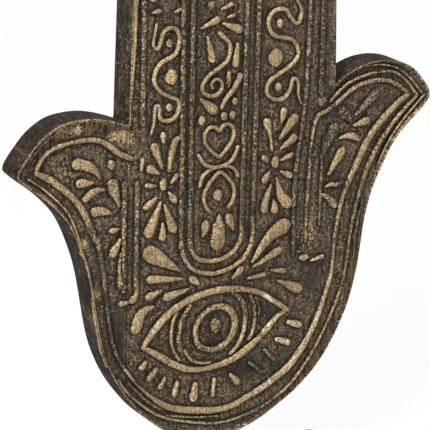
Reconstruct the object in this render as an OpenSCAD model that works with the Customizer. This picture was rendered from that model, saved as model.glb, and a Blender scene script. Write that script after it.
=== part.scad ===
// Hamsa hand on a rod stand: a carved wooden hand glued up from three boards.
// Millimetres. X across the hand, -Y towards the carved face, Z up.
// The origin is the middle of the base's underside.

/* [Hand] */
// width over the two thumb tips
hand_width = 264; // [220:1:300]
// board thickness, with the raised carving
hand_thickness = 17; // [14:0.5:20]
// height of the lowest point of the palm above the table
palm_height = 49; // [40:1:70]

/* [Carving] */
// how far the ground is cut back below the raised carving
carving_depth = 2; // [1:0.1:3]
// half width of the bead along the border
border_half_width = 1.8; // [1.2:0.1:2.4]
// half width of the straight beads between the fingers
bead_half_width = 1.3; // [0.8:0.1:1.6]
// half width of the scrolls and the U-shaped outlines
scroll_half_width = 1.2; // [0.8:0.1:1.6]
// half width of the eyelids
eyelid_half_width = 2; // [1.4:0.1:2.4]

/* [Joinery] */
// dowel diameter
dowel_diameter = 6; // [5:0.5:8]
// dowel length
dowel_length = 28; // [24:1:34]
// glue gap round a dowel, on the radius
dowel_gap = 0.05; // [0.02:0.01:0.1]
// height of the lower dowels on the drawing
low_dowel_height = 150; // [145:1:165]
// height of the upper dowels on the drawing
high_dowel_height = 215; // [195:1:225]

/* [Stand] */
// base plate width
base_width = 175; // [140:1:220]
// base plate depth
base_depth = 64; // [50:1:90]
// base plate thickness
base_thickness = 10; // [8:0.5:14]
// corner radius of the base plate
base_corner_radius = 5; // [2:0.5:10]
// rod diameter
rod_diameter = 8; // [6:0.5:8]
// depth of the rod's hole in the palm
rod_hole_depth = 46; // [35:1:55]
// running gap round the rod, on the radius
rod_gap = 0.08; // [0.02:0.01:0.1]
// depth of the socket that seats the rod in the base plate
rod_socket_depth = 3; // [2:0.5:4]
// screw thread diameter
screw_diameter = 5; // [4:0.5:5]
// length of the screw's thread in the rod
screw_grip = 12; // [8:1:16]
// screw head diameter
screw_head_diameter = 9; // [8:0.5:10]
// screw head thickness
screw_head_height = 3; // [2.5:0.5:3.5]
// felt pad diameter
pad_diameter = 14; // [10:1:18]
// felt pad thickness
pad_thickness = 2; // [1:0.5:3]

/* [Hidden] */
// the drawing of the hand: X and Z of points on its face, and half widths
drawn_width = 264.63;
drawn_middle = 0.79;
drawn_floor = 49;
hand_scale = hand_width / drawn_width;
face_y = -hand_thickness / 2;
back_y = hand_thickness / 2;
ground_y = face_y + carving_depth;
// the carving reaches this far into the board below it
carving_root = 1;
// past the hand's edge and top on every side of the drawing
drawn_reach = 140;
drawn_top = 445;

left_seam = -66.3;
right_seam = 65.4;
seam_inset = 4;

// points between two drawn points of a smooth line
outline_steps = 3;
stroke_steps = 2;
cap_steps = 2;

palm_right = [
  [-8, 49], [5, 49.6], [15, 51.6], [25, 54.8], [35, 59.2], [45, 64.4], [52.5, 69.7], [60, 76.3],
  [66, 83.4], [71.2, 91], [76.2, 99.8], [80.7, 109.8], [84.2, 121], [87, 134], [88.8, 148],
  [90.4, 160], [92.8, 170.5], [96, 180.5], [100.5, 190], [105, 198.5], [110.5, 206], [117, 212],
  [125, 218.3], [131, 223.5], [133.1, 227.3], [131.5, 232], [126.5, 238.4], [120, 245], [111, 249.8],
  [101, 252.4], [92, 252.9], [84, 252], [76, 249.6], [70, 246.6], [65.4, 243]
];
fingers = [
  [65.4, 243], [64.9, 262], [63.7, 290], [62.6, 320], [61.4, 342], [58, 358], [50, 370], [37, 375],
  [24, 370], [16.5, 358], [13.6, 343], [11, 329], [9, 345], [7.6, 366], [4.5, 384], [-1.8, 396],
  [-10, 400], [-18.2, 396], [-24.5, 384], [-27.8, 366], [-29, 345], [-30.6, 329], [-32, 344],
  [-34.6, 359], [-40, 370.5], [-47.5, 375], [-55, 370.5], [-60, 359], [-62.4, 344], [-63.6, 320],
  [-64.7, 290], [-65.7, 262], [-66.3, 242.6]
];
palm_left = [
  [-66.3, 242.6], [-72.5, 245.3], [-80, 248], [-88, 250], [-98, 250.6], [-108, 249.2], [-118, 243.6],
  [-125.5, 236], [-130.3, 230], [-131.5, 226.8], [-130.6, 224.6], [-125, 219.3], [-117, 212.5],
  [-109.5, 205], [-103.5, 197.5], [-99, 189], [-95.5, 180], [-92.3, 170.5], [-90, 161], [-88.2, 151],
  [-86.8, 142], [-85.3, 133], [-83.6, 124.5], [-80.8, 115], [-76.8, 105], [-71.8, 95.3], [-65.6, 86],
  [-58.4, 76.6], [-50, 68.2], [-41.5, 61.3], [-32, 55.4], [-20, 50.9], [-8, 49]
];

// border beads: [x, z], all of one width
border_bead = [
  [-117, 226.5], [-111, 221], [-104, 214], [-98, 207], [-94, 200.6], [-89.5, 191], [-85.5, 181],
  [-82.5, 170], [-80.5, 160], [-79.5, 150], [-78.3, 138], [-75.6, 124], [-70, 110], [-62.5, 98.4],
  [-53, 87], [-45, 80.6], [-35, 74.6], [-20, 68.7], [-10, 66], [0, 65], [10, 66.5], [20, 69.3],
  [30, 74.2], [38, 80], [46, 88], [54, 100], [60, 112], [65, 124], [68.5, 136], [70.7, 149],
  [72.7, 162], [76, 176], [80.5, 190], [86, 202], [94, 213.5], [103, 222.5], [112, 228], [116, 229.6]
];
left_thumb_bead = [
  [-120.5, 226.5], [-116, 232.3], [-110, 236.5], [-103, 238.6], [-95, 239.4], [-87, 238.2],
  [-79, 234.5], [-72, 229.3], [-65.5, 225]
];
right_thumb_bead = [
  [51, 217.5], [51.8, 224], [55.5, 228.2], [61, 229.5], [67, 232.5], [74, 237.5], [81, 240.8],
  [90, 242], [100, 241.2], [108, 238], [114, 233.6], [117, 230.6]
];
edge_bead = [
  [-70, 99], [-66, 92], [-59, 83], [-50, 74], [-41, 68.6], [-32, 64.4], [-20, 60.2], [-10, 57.6],
  [0, 56.4], [10, 57.4], [20, 60], [30, 63.8], [40, 69.4], [50, 77.4], [58, 88], [65, 99.5],
  [70.3, 110.5], [74.2, 121], [77.4, 136], [79.6, 151], [82, 165], [85.5, 178], [90.4, 191],
  [96, 202.4], [103, 211.4], [113, 221], [123, 228], [121, 234.5], [116, 240.2], [109, 244.5],
  [100, 246.6], [85, 246.4], [75, 244.4], [66, 239.5], [60, 234]
];

// straight beads: [x at the foot, z of the foot, x at the head, z of the head]
long_beads = [
  [-57.6, 242, -56.6, 352], [-33.2, 172, -33.4, 322], [-27.6, 172, -27.4, 322],
  [5.8, 172, 6.4, 322], [13, 172, 14, 322], [47, 232, 49, 350], [56.5, 236, 56, 344]
];
short_beads = [
  [-69, 154, -68.6, 211], [-61.3, 154, -60.8, 210], [42.4, 150, 41.6, 214],
  [50, 152, 50, 206], [56.6, 156, 56.4, 204]
];

// scrolls: [x, z]
left_scroll = [
  [-50.5, 294], [-51.6, 288], [-51.8, 283], [-49, 281.2], [-47.3, 286], [-44, 289.6], [-39.5, 289.6],
  [-36.6, 285.5], [-37, 279.5], [-39.6, 276], [-44.5, 274], [-49, 270.5], [-51, 265.5], [-49.6, 260],
  [-45.5, 256.2], [-40, 253.4], [-36, 250], [-36.4, 245], [-39.6, 241.8], [-43.5, 241.6],
  [-47, 244.5], [-48.4, 249.4], [-51, 248], [-51, 242.5], [-52.6, 236]
];
right_scroll = [
  [38.6, 295], [40.6, 290], [41, 284.6], [38.2, 282], [34.8, 285], [31.5, 289.8], [27, 291.2],
  [22, 289.5], [19.8, 285], [21, 280], [25, 276.4], [31, 274.6], [36.5, 272], [39.8, 267.6],
  [39.6, 262.4], [35.6, 259.2], [29.5, 256.4], [23, 253.6], [19.8, 249.8], [20.6, 245],
  [25, 241.8], [30.5, 241.6], [35, 244.6], [36.4, 249.6], [39.6, 248], [40.2, 242], [42.8, 236.4]
];
middle_scroll = [
  [-12, 283.4], [-7.6, 279.8], [-5, 275.4], [-5.4, 270], [-9.5, 266.4], [-15.5, 263.6],
  [-20.2, 259.4], [-21.8, 255.6], [-19.4, 252], [-14.6, 250], [-10.4, 251.6], [-9, 256],
  [-11.2, 259.2], [-15, 258.6], [-16.4, 256]
];
outer_u = [
  [-33.2, 172], [-32.4, 165.5], [-29, 158], [-23, 152.6], [-15, 149.6], [-8, 149], [0, 150.2],
  [7, 153.6], [11.6, 159.6], [13, 166], [13, 172]
];
inner_u = [
  [-27.6, 172], [-26.6, 165.5], [-22.5, 159.8], [-15.5, 157], [-9, 156.4], [-2, 157.8],
  [3, 161.6], [5.4, 166.5], [5.8, 172]
];
heart_halves = [
  [[-9.6, 228.4], [-7.8, 231.6], [-4.6, 232.6], [-1.8, 230], [-2.4, 225], [-5.8, 220], [-9.8, 216.4]],
  [[-11, 228.8], [-13, 232.2], [-16.4, 232.8], [-19.2, 230], [-18.4, 225], [-14.8, 219.8], [-11.2, 215.8]]
];
arch = [
  [-15.6, 185.6], [-18, 189.6], [-19, 195], [-17.4, 200.6], [-13.6, 205], [-9.4, 206.8],
  [-4.6, 204.6], [-0.8, 200], [0.6, 194.6], [-1, 189.6], [-3.4, 186]
];
crescents = [
  [[-23, 218.4], [-19.8, 213.6], [-15, 210.6], [-9, 209.8], [-3, 211.4], [0, 214.6], [2, 219]],
  [[-22, 201.4], [-20.4, 206.4], [-15.4, 209.2], [-9, 210], [-3, 208.8], [0.8, 206], [2.4, 202.6]]
];

// the eye
upper_lid = [
  [-57, 116.4], [-51, 122.5], [-43, 129.6], [-33, 134.8], [-22, 138], [-10, 139.2], [2, 137.6],
  [13, 133.6], [23, 127.4], [31, 121], [38, 115.6]
];
lower_lid = [
  [-57, 115.6], [-48, 110], [-39, 102.6], [-30, 97.2], [-20, 94], [-10, 92.8], [0, 94],
  [10, 97.4], [19, 102.6], [27, 108.4], [36.5, 114.6]
];
iris_rings = [
  [[-30.5, 133], [-33, 124], [-32.6, 114], [-28.5, 104], [-22, 98]],
  [[6.4, 133], [9.6, 124.6], [9.2, 114], [6.6, 105], [1, 98.5]],
  [[-37, 130], [-38.8, 123], [-38.2, 113], [-35, 105]],
  [[15.2, 129], [16.8, 121], [15.8, 111], [13, 104]]
];
eye_middle = [-10.5, 116.6];
eye_ring_radius = 13.2;
pupil_middle = [-10.5, 118.6];
pupil_radius = 4.6;

// drops: [x, z of the thin end, half width there, x, z of the round end, half width there]
palm_drops = [
  [-34, 155.4, 0.6, -52.6, 169, 5], [-32.5, 150.4, 0.6, -52.5, 154.2, 2.4],
  [-45, 147.4, 0.6, -54, 144.6, 2.2], [-28.5, 143.4, 0.6, -42, 141.8, 2.5],
  [-50.5, 138.6, 0.6, -61, 129.6, 4], [-64.6, 145, 1, -61, 146.6, 2.4],
  [12.8, 151.4, 0.6, 33, 166.5, 5], [14, 147.2, 0.6, 30.6, 153.4, 2.4],
  [11, 141, 0.6, 21, 141.2, 1.4], [27, 142.4, 0.6, 34.5, 140.6, 1.6],
  [31, 135.4, 0.6, 44.6, 127.8, 3.2], [0.6, 143.4, 0.6, 5.4, 147.4, 2.2],
  [-21.6, 144.8, 0.8, -25.6, 148.4, 2.4], [51.5, 145, 0.8, 47, 145.6, 2.2]
];
flower_drops = [
  [-46.4, 197, 0.6, -53.6, 181.6, 3.2], [-44, 194.6, 0.6, -38.8, 180.8, 2.7],
  [-45.2, 184.6, 0.6, -45.2, 177.2, 2.3], [-49.4, 200, 0.6, -55.4, 196, 1.9],
  [-41.4, 201.4, 0.6, -38.4, 197, 2.2], [-50, 206.6, 0.6, -54.6, 207.6, 1.5],
  [-40, 206.6, 0.6, -37, 209.8, 1.4], [-47.6, 212.8, 0.6, -53, 216.6, 2.4],
  [-46, 216, 0.8, -50.6, 228, 2.4], [-42.4, 214.5, 0.8, -38.4, 228.6, 2],
  [-45.2, 229.4, 0.8, -45, 233.6, 1.8], [-58.6, 217, 0.8, -58, 222.4, 1.2],
  [24.2, 193.6, 0.6, 20.6, 180.4, 2.5], [28.6, 196, 0.6, 35.6, 182.4, 4.2],
  [26.6, 183.6, 0.6, 27.4, 178.4, 2.3], [23, 200.8, 0.6, 20.2, 197, 2.1],
  [31, 199.6, 0.6, 36.6, 196.6, 1.9], [22, 206.8, 0.6, 19.4, 209.8, 1.7],
  [31, 206.4, 0.6, 37, 208.2, 1.5], [30.6, 213, 0.6, 38.6, 217.6, 2.4],
  [24.2, 214, 0.8, 20.8, 229.4, 2.2], [29.6, 219.6, 0.8, 38, 229.4, 2.8],
  [30.4, 228.4, 0.6, 31.6, 234, 2.2]
];
middle_drops = [
  [-22.4, 287.8, 0.6, -13, 291, 1.9], [-8.8, 288.4, 0.6, 0.6, 284.2, 2.4],
  [-10, 296.2, 0.6, -4.4, 298.2, 1.2], [-6, 291.4, 0.5, -2.6, 292.2, 0.9],
  [-18.6, 282, 0.7, -15.8, 270.6, 1.9], [0.2, 276, 0.8, -0.8, 266, 2.2],
  [-8.6, 243.6, 1, 0.8, 257.4, 1.9], [-22, 249.4, 0.6, -14.4, 242.6, 2.7],
  [-4.6, 257, 0.6, -4, 261.4, 1.4], [-20.6, 172.4, 0.6, -18.6, 179.4, 2],
  [-1, 172.4, 0.6, -2.4, 178.4, 2.2], [-9.2, 181.4, 0.7, -9.8, 166, 5]
];
thumb_drops = [
  [-84, 217.6, 0.7, -97, 227.6, 2.9], [-88.6, 216.2, 0.6, -95.6, 216.6, 2.3],
  [-81.6, 210.6, 0.7, -92, 208, 1.7], [-71.4, 196.6, 0.8, -76, 211.8, 3.8],
  [-75.6, 195.4, 0.7, -86.6, 201, 2.4], [-70.8, 181.6, 0.6, -76.8, 173.8, 2.4],
  [-71.4, 173, 0.6, -71.8, 156.8, 2.2], [-73, 187, 0.6, -78.4, 187.6, 1.3],
  [-67.2, 144.4, 0.6, -72.4, 144.4, 1.6],
  [81, 223.6, 0.8, 95, 233.2, 3], [79.6, 217.8, 0.6, 88.4, 218.6, 2.3],
  [70.2, 211.8, 0.6, 82, 210.2, 1.8], [59, 203, 0.8, 66.4, 218.4, 3.8],
  [64, 193, 0.8, 72.6, 204, 2.9], [62, 185, 0.6, 70, 185.2, 1.2],
  [59, 181.6, 0.6, 67.4, 173.6, 2.2], [55, 142.6, 0.5, 62.4, 143.6, 1.1],
  [77, 221.6, 0.8, 73, 228, 2.6]
];
finger_drops = [
  [-45, 322, 0.6, -51.5, 308.6, 3], [-44.4, 322, 0.6, -38.6, 308.6, 2.7],
  [-44.8, 326, 0.6, -54, 326.4, 1.9], [-44, 326, 0.6, -37, 327.4, 1.7],
  [-45, 331, 0.7, -50.6, 343.6, 2.6], [-44, 331, 0.7, -38.8, 343.6, 2.4],
  [-44.6, 336, 0.7, -44.8, 356, 2.6], [-52.4, 300, 0.6, -48.4, 300.4, 1.3],
  [-38.6, 298.6, 0.6, -36, 299.6, 1],
  [29, 322, 0.6, 22.4, 308.6, 2.7], [30, 322, 0.6, 37, 308.6, 3.4],
  [29, 326, 0.6, 21.6, 327.4, 1.8], [30, 326, 0.6, 38.4, 327, 1.9],
  [29, 331, 0.7, 23.4, 343.6, 2.4], [30, 331, 0.7, 37.4, 343.6, 2.8],
  [29.5, 336, 0.7, 30, 356, 2.8],
  [-10, 346, 0.7, -18, 358, 2.4], [-10, 346, 0.7, -2, 358, 2.4], [-10, 352, 0.7, -10, 376, 3]
];
lashes = [
  [-56.6, 108.2, 1.2, -59.4, 105.4, 1.5], [-50.4, 100.6, 1.3, -53, 97.6, 1.4],
  [-43.6, 94.2, 1.1, -46.2, 89.8, 1.4], [-36, 88.2, 1.2, -37.4, 84, 1.4],
  [-24.2, 85, 1.6, -25.2, 79, 2.4], [-12.2, 83.4, 1, -12.6, 77.6, 1.2],
  [1, 85, 1, 4, 79, 1.9], [13.6, 89.4, 1, 20, 83, 1], [24.6, 96, 1, 29, 88.4, 1.2],
  [31.6, 100.4, 1.1, 39.4, 96.2, 1.3], [40, 108.6, 1.2, 47.4, 105.4, 1.5]
];
// dots: [x, z, radius]
dots = [
  [-41.6, 282.4, 1.9], [-40.4, 264.2, 3.9], [-41.8, 248.2, 1.9], [26.8, 283.4, 2.2],
  [25.4, 264.8, 4.6], [27.8, 248.4, 2.1], [-44.8, 206, 2.2], [27.2, 205.8, 2.4],
  [-10.4, 194, 3], [-21.4, 237.8, 2.2], [-7.4, 237.6, 2.1], [-1.8, 237.4, 2], [-0.8, 245, 1.5],
  [-78, 223.4, 2], [-10, 318, 2.6], [-10, 330, 3.4], [-44.6, 327, 2], [29.5, 326.6, 2.2]
];

rod_radius = rod_diameter / 2;
rod_hole_radius = rod_radius + rod_gap;
base_top = pad_thickness + base_thickness;
rod_foot = base_top - rod_socket_depth;
rod_top = palm_height + rod_hole_depth;
rod_chamfer = 0.8;
screw_radius = screw_diameter / 2;
thread_gap = 0.05;
screw_head_radius = screw_head_diameter / 2;
screw_head_gap = 0.5;
screw_recess = 4;
screw_seat = pad_thickness + screw_recess;
screw_tip = rod_foot + screw_grip;
screw_hole_depth = screw_grip + 2;
hex_radius = 2;
hex_depth = 1.8;
pad_inset = 11;
plate_edge = 1;
round_facets = 48;

// a smooth line through the points
function between(a, b, c, d, t) =
  0.5 * (2 * b + (c - a) * t + (2 * a - 5 * b + 4 * c - d) * t * t + (3 * b - a - 3 * c + d) * t * t * t);
function smooth(p, n) = [
  for (i = [0 : len(p) - 2], k = [0 : n - 1])
    between(p[max(i - 1, 0)], p[i], p[i + 1], p[min(i + 2, len(p) - 1)], k / n),
  p[len(p) - 1]
];
function without_last(p) = [for (i = [0 : len(p) - 2]) p[i]];
function flat(p) = [for (q = p) [q[0], q[1]]];

// the outline of a stroke with round ends, through points [x, z, half width]
function heading(p, i) =
  let (a = p[max(i - 1, 0)], b = p[min(i + 1, len(p) - 1)]) atan2(b[1] - a[1], b[0] - a[0]);
function rim(q, angle) = [q[0] + q[2] * cos(angle), q[1] + q[2] * sin(angle)];
function stroke_rim(p) =
  let (last = len(p) - 1, first_way = heading(p, 0), last_way = heading(p, last)) concat(
    [for (i = [0 : last]) rim(p[i], heading(p, i) - 90)],
    [for (k = [1 : cap_steps]) rim(p[last], last_way - 90 + 180 * k / (cap_steps + 1))],
    [for (i = [last : -1 : 0]) rim(p[i], heading(p, i) + 90)],
    [for (k = [1 : cap_steps]) rim(p[0], first_way + 90 + 180 * k / (cap_steps + 1))]
  );
function widened(p, half_width) = [for (q = p) [q[0], q[1], half_width]];
// a drop swells from its thin end to its round end
function drop_path(d) = [
  [d[0], d[1], d[2]],
  [d[0] + 0.35 * (d[3] - d[0]), d[1] + 0.35 * (d[4] - d[1]), d[2] + 0.42 * (d[5] - d[2])],
  [d[0] + 0.7 * (d[3] - d[0]), d[1] + 0.7 * (d[4] - d[1]), d[2] + 0.82 * (d[5] - d[2])],
  [d[3], d[4], d[5]]
];

hand_outline = concat(
  without_last(smooth(palm_right, outline_steps)),
  without_last(smooth(fingers, outline_steps)),
  without_last(smooth(palm_left, outline_steps))
);

// stands the drawing up in the hand's place, from depth y0 back to depth y1
module on_hand(y0, y1) {
  translate([-drawn_middle * hand_scale, y1, palm_height - drawn_floor * hand_scale])
    rotate([90, 0, 0])
      linear_extrude(height = y1 - y0)
        scale([hand_scale, hand_scale])
          children();
}

// the part of the drawing that lies on one board
module board_span(x0, x1) {
  translate([x0, drawn_floor - seam_inset])
    square([x1 - x0, drawn_top]);
}

module stroke(path) {
  polygon(stroke_rim(path));
}

module bead(path, half_width) {
  stroke(smooth(widened(path, half_width), stroke_steps));
}

module straight_bead(b, half_width) {
  stroke([[b[0], b[1], half_width], [b[2], b[3], half_width]]);
}

module drops(list) {
  for (d = list) stroke(drop_path(d));
}

module borders() {
  bead(border_bead, border_half_width);
  bead(left_thumb_bead, border_half_width);
  bead(right_thumb_bead, border_half_width);
  bead(edge_bead, scroll_half_width);
}

module straight_beads() {
  for (b = long_beads) straight_bead(b, bead_half_width);
  for (b = short_beads) straight_bead(b, bead_half_width);
}

module scrolls() {
  bead(left_scroll, scroll_half_width);
  bead(right_scroll, scroll_half_width);
  bead(middle_scroll, scroll_half_width);
  bead(outer_u, scroll_half_width);
  bead(inner_u, scroll_half_width);
  for (h = heart_halves) bead(h, scroll_half_width);
  bead(arch, scroll_half_width);
  for (c = crescents) bead(c, scroll_half_width);
}

module eye() {
  bead(upper_lid, eyelid_half_width);
  bead(lower_lid, eyelid_half_width);
  for (r = iris_rings) bead(r, bead_half_width);
  translate(eye_middle)
    difference() {
      circle(r = eye_ring_radius + bead_half_width, $fn = round_facets);
      circle(r = eye_ring_radius - bead_half_width, $fn = round_facets);
    }
  translate(pupil_middle)
    circle(r = pupil_radius, $fn = round_facets);
}

module small_carving() {
  drops(palm_drops);
  drops(flower_drops);
  drops(middle_drops);
  drops(thumb_drops);
  drops(finger_drops);
  drops(lashes);
  for (d = dots)
    translate([d[0], d[1]])
      circle(r = d[2], $fn = round_facets / 2);
}

// one board of the glued-up hand, with the carving that lies on it
module board(x0, x1) {
  on_hand(ground_y, back_y)
    intersection() {
      polygon(hand_outline);
      board_span(x0, x1);
    }
  on_hand(face_y, ground_y + carving_root)
    intersection() {
      union() {
        borders();
        straight_beads();
        scrolls();
        eye();
        small_carving();
      }
      polygon(hand_outline);
      board_span(x0, x1);
    }
}

module across(x, z, radius, length) {
  translate([(x - drawn_middle) * hand_scale, 0, palm_height + (z - drawn_floor) * hand_scale])
    rotate([0, 90, 0])
      cylinder(r = radius, h = length, center = true, $fn = round_facets);
}

module dowel_set(radius, length) {
  for (x = [left_seam, right_seam], z = [low_dowel_height, high_dowel_height])
    across(x, z, radius, length);
}

module dowel_holes() {
  dowel_set(dowel_diameter / 2 + dowel_gap, dowel_length + 1);
}

module hand_centre_board() {
  color([0.2, 0.16, 0.12])
    difference() {
      board(left_seam, right_seam);
      dowel_holes();
      translate([0, 0, palm_height - seam_inset])
        cylinder(r = rod_hole_radius, h = rod_hole_depth + seam_inset, $fn = round_facets);
    }
}

module left_thumb_board() {
  color([0.22, 0.17, 0.13])
    difference() {
      board(-drawn_reach, left_seam);
      dowel_holes();
    }
}

module right_thumb_board() {
  color([0.22, 0.17, 0.13])
    difference() {
      board(right_seam, drawn_reach);
      dowel_holes();
    }
}

module board_dowels() {
  color([0.75, 0.6, 0.42])
    dowel_set(dowel_diameter / 2, dowel_length);
}

// the plate's plan, drawn in by some amount
module plate_plan(inset) {
  x = base_width / 2 - base_corner_radius;
  y = base_depth / 2 - base_corner_radius;
  union() {
    square([2 * x, base_depth - 2 * inset], center = true);
    square([base_width - 2 * inset, 2 * y], center = true);
    for (sx = [-1, 1], sy = [-1, 1])
      translate([sx * x, sy * y])
        circle(r = base_corner_radius - inset, $fn = round_facets);
  }
}

module base_plate() {
  color([0.45, 0.45, 0.45])
    difference() {
      union() {
        translate([0, 0, pad_thickness])
          linear_extrude(height = base_thickness - plate_edge)
            plate_plan(0);
        translate([0, 0, base_top - plate_edge])
          linear_extrude(height = plate_edge)
            plate_plan(plate_edge);
      }
      translate([0, 0, rod_foot])
        cylinder(r = rod_hole_radius, h = rod_socket_depth + 1, $fn = round_facets);
      translate([0, 0, pad_thickness - 1])
        cylinder(r = screw_radius + 0.25, h = base_thickness, $fn = round_facets);
      translate([0, 0, pad_thickness - 1])
        cylinder(r = screw_head_radius + screw_head_gap, h = screw_recess + 1, $fn = round_facets);
    }
}

module base_pads() {
  color([0.1, 0.1, 0.1])
    for (sx = [-1, 1], sy = [-1, 1])
      translate([sx * (base_width / 2 - pad_inset), sy * (base_depth / 2 - pad_inset), 0])
        cylinder(r = pad_diameter / 2, h = pad_thickness, $fn = round_facets);
}

module stand_rod() {
  color([0.3, 0.3, 0.3])
    difference() {
      union() {
        translate([0, 0, rod_foot])
          cylinder(r = rod_radius, h = rod_top - rod_foot - rod_chamfer, $fn = round_facets);
        translate([0, 0, rod_top - rod_chamfer])
          cylinder(r1 = rod_radius, r2 = rod_radius - rod_chamfer, h = rod_chamfer, $fn = round_facets);
      }
      translate([0, 0, rod_foot - 1])
        cylinder(r = screw_radius + thread_gap, h = screw_hole_depth + 1, $fn = round_facets);
    }
}

module rod_screw() {
  color([0.7, 0.7, 0.72])
    difference() {
      union() {
        translate([0, 0, screw_seat])
          cylinder(r = screw_radius, h = screw_tip - screw_seat, $fn = round_facets);
        translate([0, 0, screw_seat - screw_head_height])
          cylinder(r = screw_head_radius, h = screw_head_height, $fn = round_facets);
      }
      translate([0, 0, screw_seat - screw_head_height - 1])
        linear_extrude(height = hex_depth + 1)
          polygon([for (a = [0 : 60 : 300]) [hex_radius * cos(a), hex_radius * sin(a)]]);
    }
}

base_plate();
base_pads();
stand_rod();
rod_screw();
hand_centre_board();
left_thumb_board();
right_thumb_board();
board_dowels();
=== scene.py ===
"""The dressed model of a carved hamsa hand on its rod stand.

The hand is drawn once, as points on its face in millimetres, and every bead,
drop and dot is swept along that drawing.
"""

import logging
import math
from collections.abc import Callable
from dataclasses import dataclass, field
from enum import Enum

import bmesh
import bpy
import numpy as np
from mathutils import Matrix, Vector, noise
from mathutils.geometry import delaunay_2d_cdt
from mathutils.kdtree import KDTree


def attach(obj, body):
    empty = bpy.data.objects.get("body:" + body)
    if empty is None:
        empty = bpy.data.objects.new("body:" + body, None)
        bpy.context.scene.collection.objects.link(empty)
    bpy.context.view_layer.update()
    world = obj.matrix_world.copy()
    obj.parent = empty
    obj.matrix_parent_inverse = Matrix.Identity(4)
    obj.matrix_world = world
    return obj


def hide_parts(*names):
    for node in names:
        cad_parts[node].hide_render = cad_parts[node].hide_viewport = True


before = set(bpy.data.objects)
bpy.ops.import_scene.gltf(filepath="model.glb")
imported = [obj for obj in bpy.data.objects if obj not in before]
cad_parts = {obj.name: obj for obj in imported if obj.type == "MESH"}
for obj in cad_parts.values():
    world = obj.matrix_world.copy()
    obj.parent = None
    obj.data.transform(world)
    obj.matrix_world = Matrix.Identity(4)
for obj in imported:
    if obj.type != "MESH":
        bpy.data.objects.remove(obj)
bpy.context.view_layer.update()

log = logging.getLogger("hamsa")

Point = tuple[float, float]
Station = tuple[float, float, float]
Measure = Callable[[float, float], float]
Socket = bpy.types.NodeSocket
Feed = bpy.types.NodeSocket | float | tuple

TINY = 1e-6


class Cut(Enum):
    """How a stroke of the carving is shaped across."""

    BEAD = 0.85
    DROP = 0.62
    DOT = 0.8


@dataclass(frozen=True)
class Drawing:
    """Where the drawing of the hand stands in the part's frame.

    Points on the drawing are millimetres: x to the right and z up.
    """

    hand_width: float = 264.0
    drawn_width: float = 264.63
    drawn_middle: float = 0.79
    drawn_floor: float = 49.0
    palm_height: float = 49.0
    thickness: float = 17.0
    carving_depth: float = 2.0
    left_seam: float = -66.3
    right_seam: float = 65.4
    past_thumbs: float = 160.0

    @property
    def scale(self) -> float:
        """Real millimetres for one millimetre of the drawing."""
        return self.hand_width / self.drawn_width

    def place(self, x: float, z: float, depth: float) -> Vector:
        """Puts a drawn point into the part's frame.

        Args:
            x: distance to the right on the drawing.
            z: height on the drawing.
            depth: millimetres behind the hand's foremost plane.

        Returns:
            The point in metres.
        """
        return Vector((
            (x - self.drawn_middle) * self.scale / 1000,
            (depth - self.thickness / 2) / 1000,
            (self.palm_height + (z - self.drawn_floor) * self.scale) / 1000,
        ))

    def drawn(self, point: Vector) -> Point:
        """The drawn point of a point in the part's frame."""
        x = point.x * 1000 / self.scale + self.drawn_middle
        return x, (point.z * 1000 - self.palm_height) / self.scale + self.drawn_floor


def smooth_line(points: list, steps: int) -> list:
    """Runs a smooth line through drawn points.

    Args:
        points: the drawn points, each with the same count of numbers.
        steps: how many parts each span is cut into.

    Returns:
        The points of the smooth line.
    """
    p = [np.array(q, dtype=float) for q in points]
    last = len(p) - 1
    out = []
    for i in range(last):
        a, b, c, d = p[max(i - 1, 0)], p[i], p[i + 1], p[min(i + 2, last)]
        for k in range(steps):
            t = k / steps
            out.append(0.5 * (2 * b + (c - a) * t + (2 * a - 5 * b + 4 * c - d) * t * t
                              + (3 * b - a - 3 * c + d) * t ** 3))
    out.append(p[last])
    return [tuple(float(v) for v in q) for q in out]


def evenly(points: list, spacing: float) -> list:
    """Spaces the points of a line evenly.

    Args:
        points: the line, each point starting with x and z.
        spacing: the wanted distance between points.

    Returns:
        The line with points at even distances, ends kept.
    """
    p = np.array(points, dtype=float)
    steps = np.hypot(*(p[1:, :2] - p[:-1, :2]).T)
    run = np.concatenate([[0.0], np.cumsum(steps)])
    count = max(2, int(round(run[-1] / spacing)) + 1)
    at = np.linspace(0.0, run[-1], count)
    return [tuple(float(np.interp(s, run, p[:, j])) for j in range(p.shape[1])) for s in at]


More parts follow.
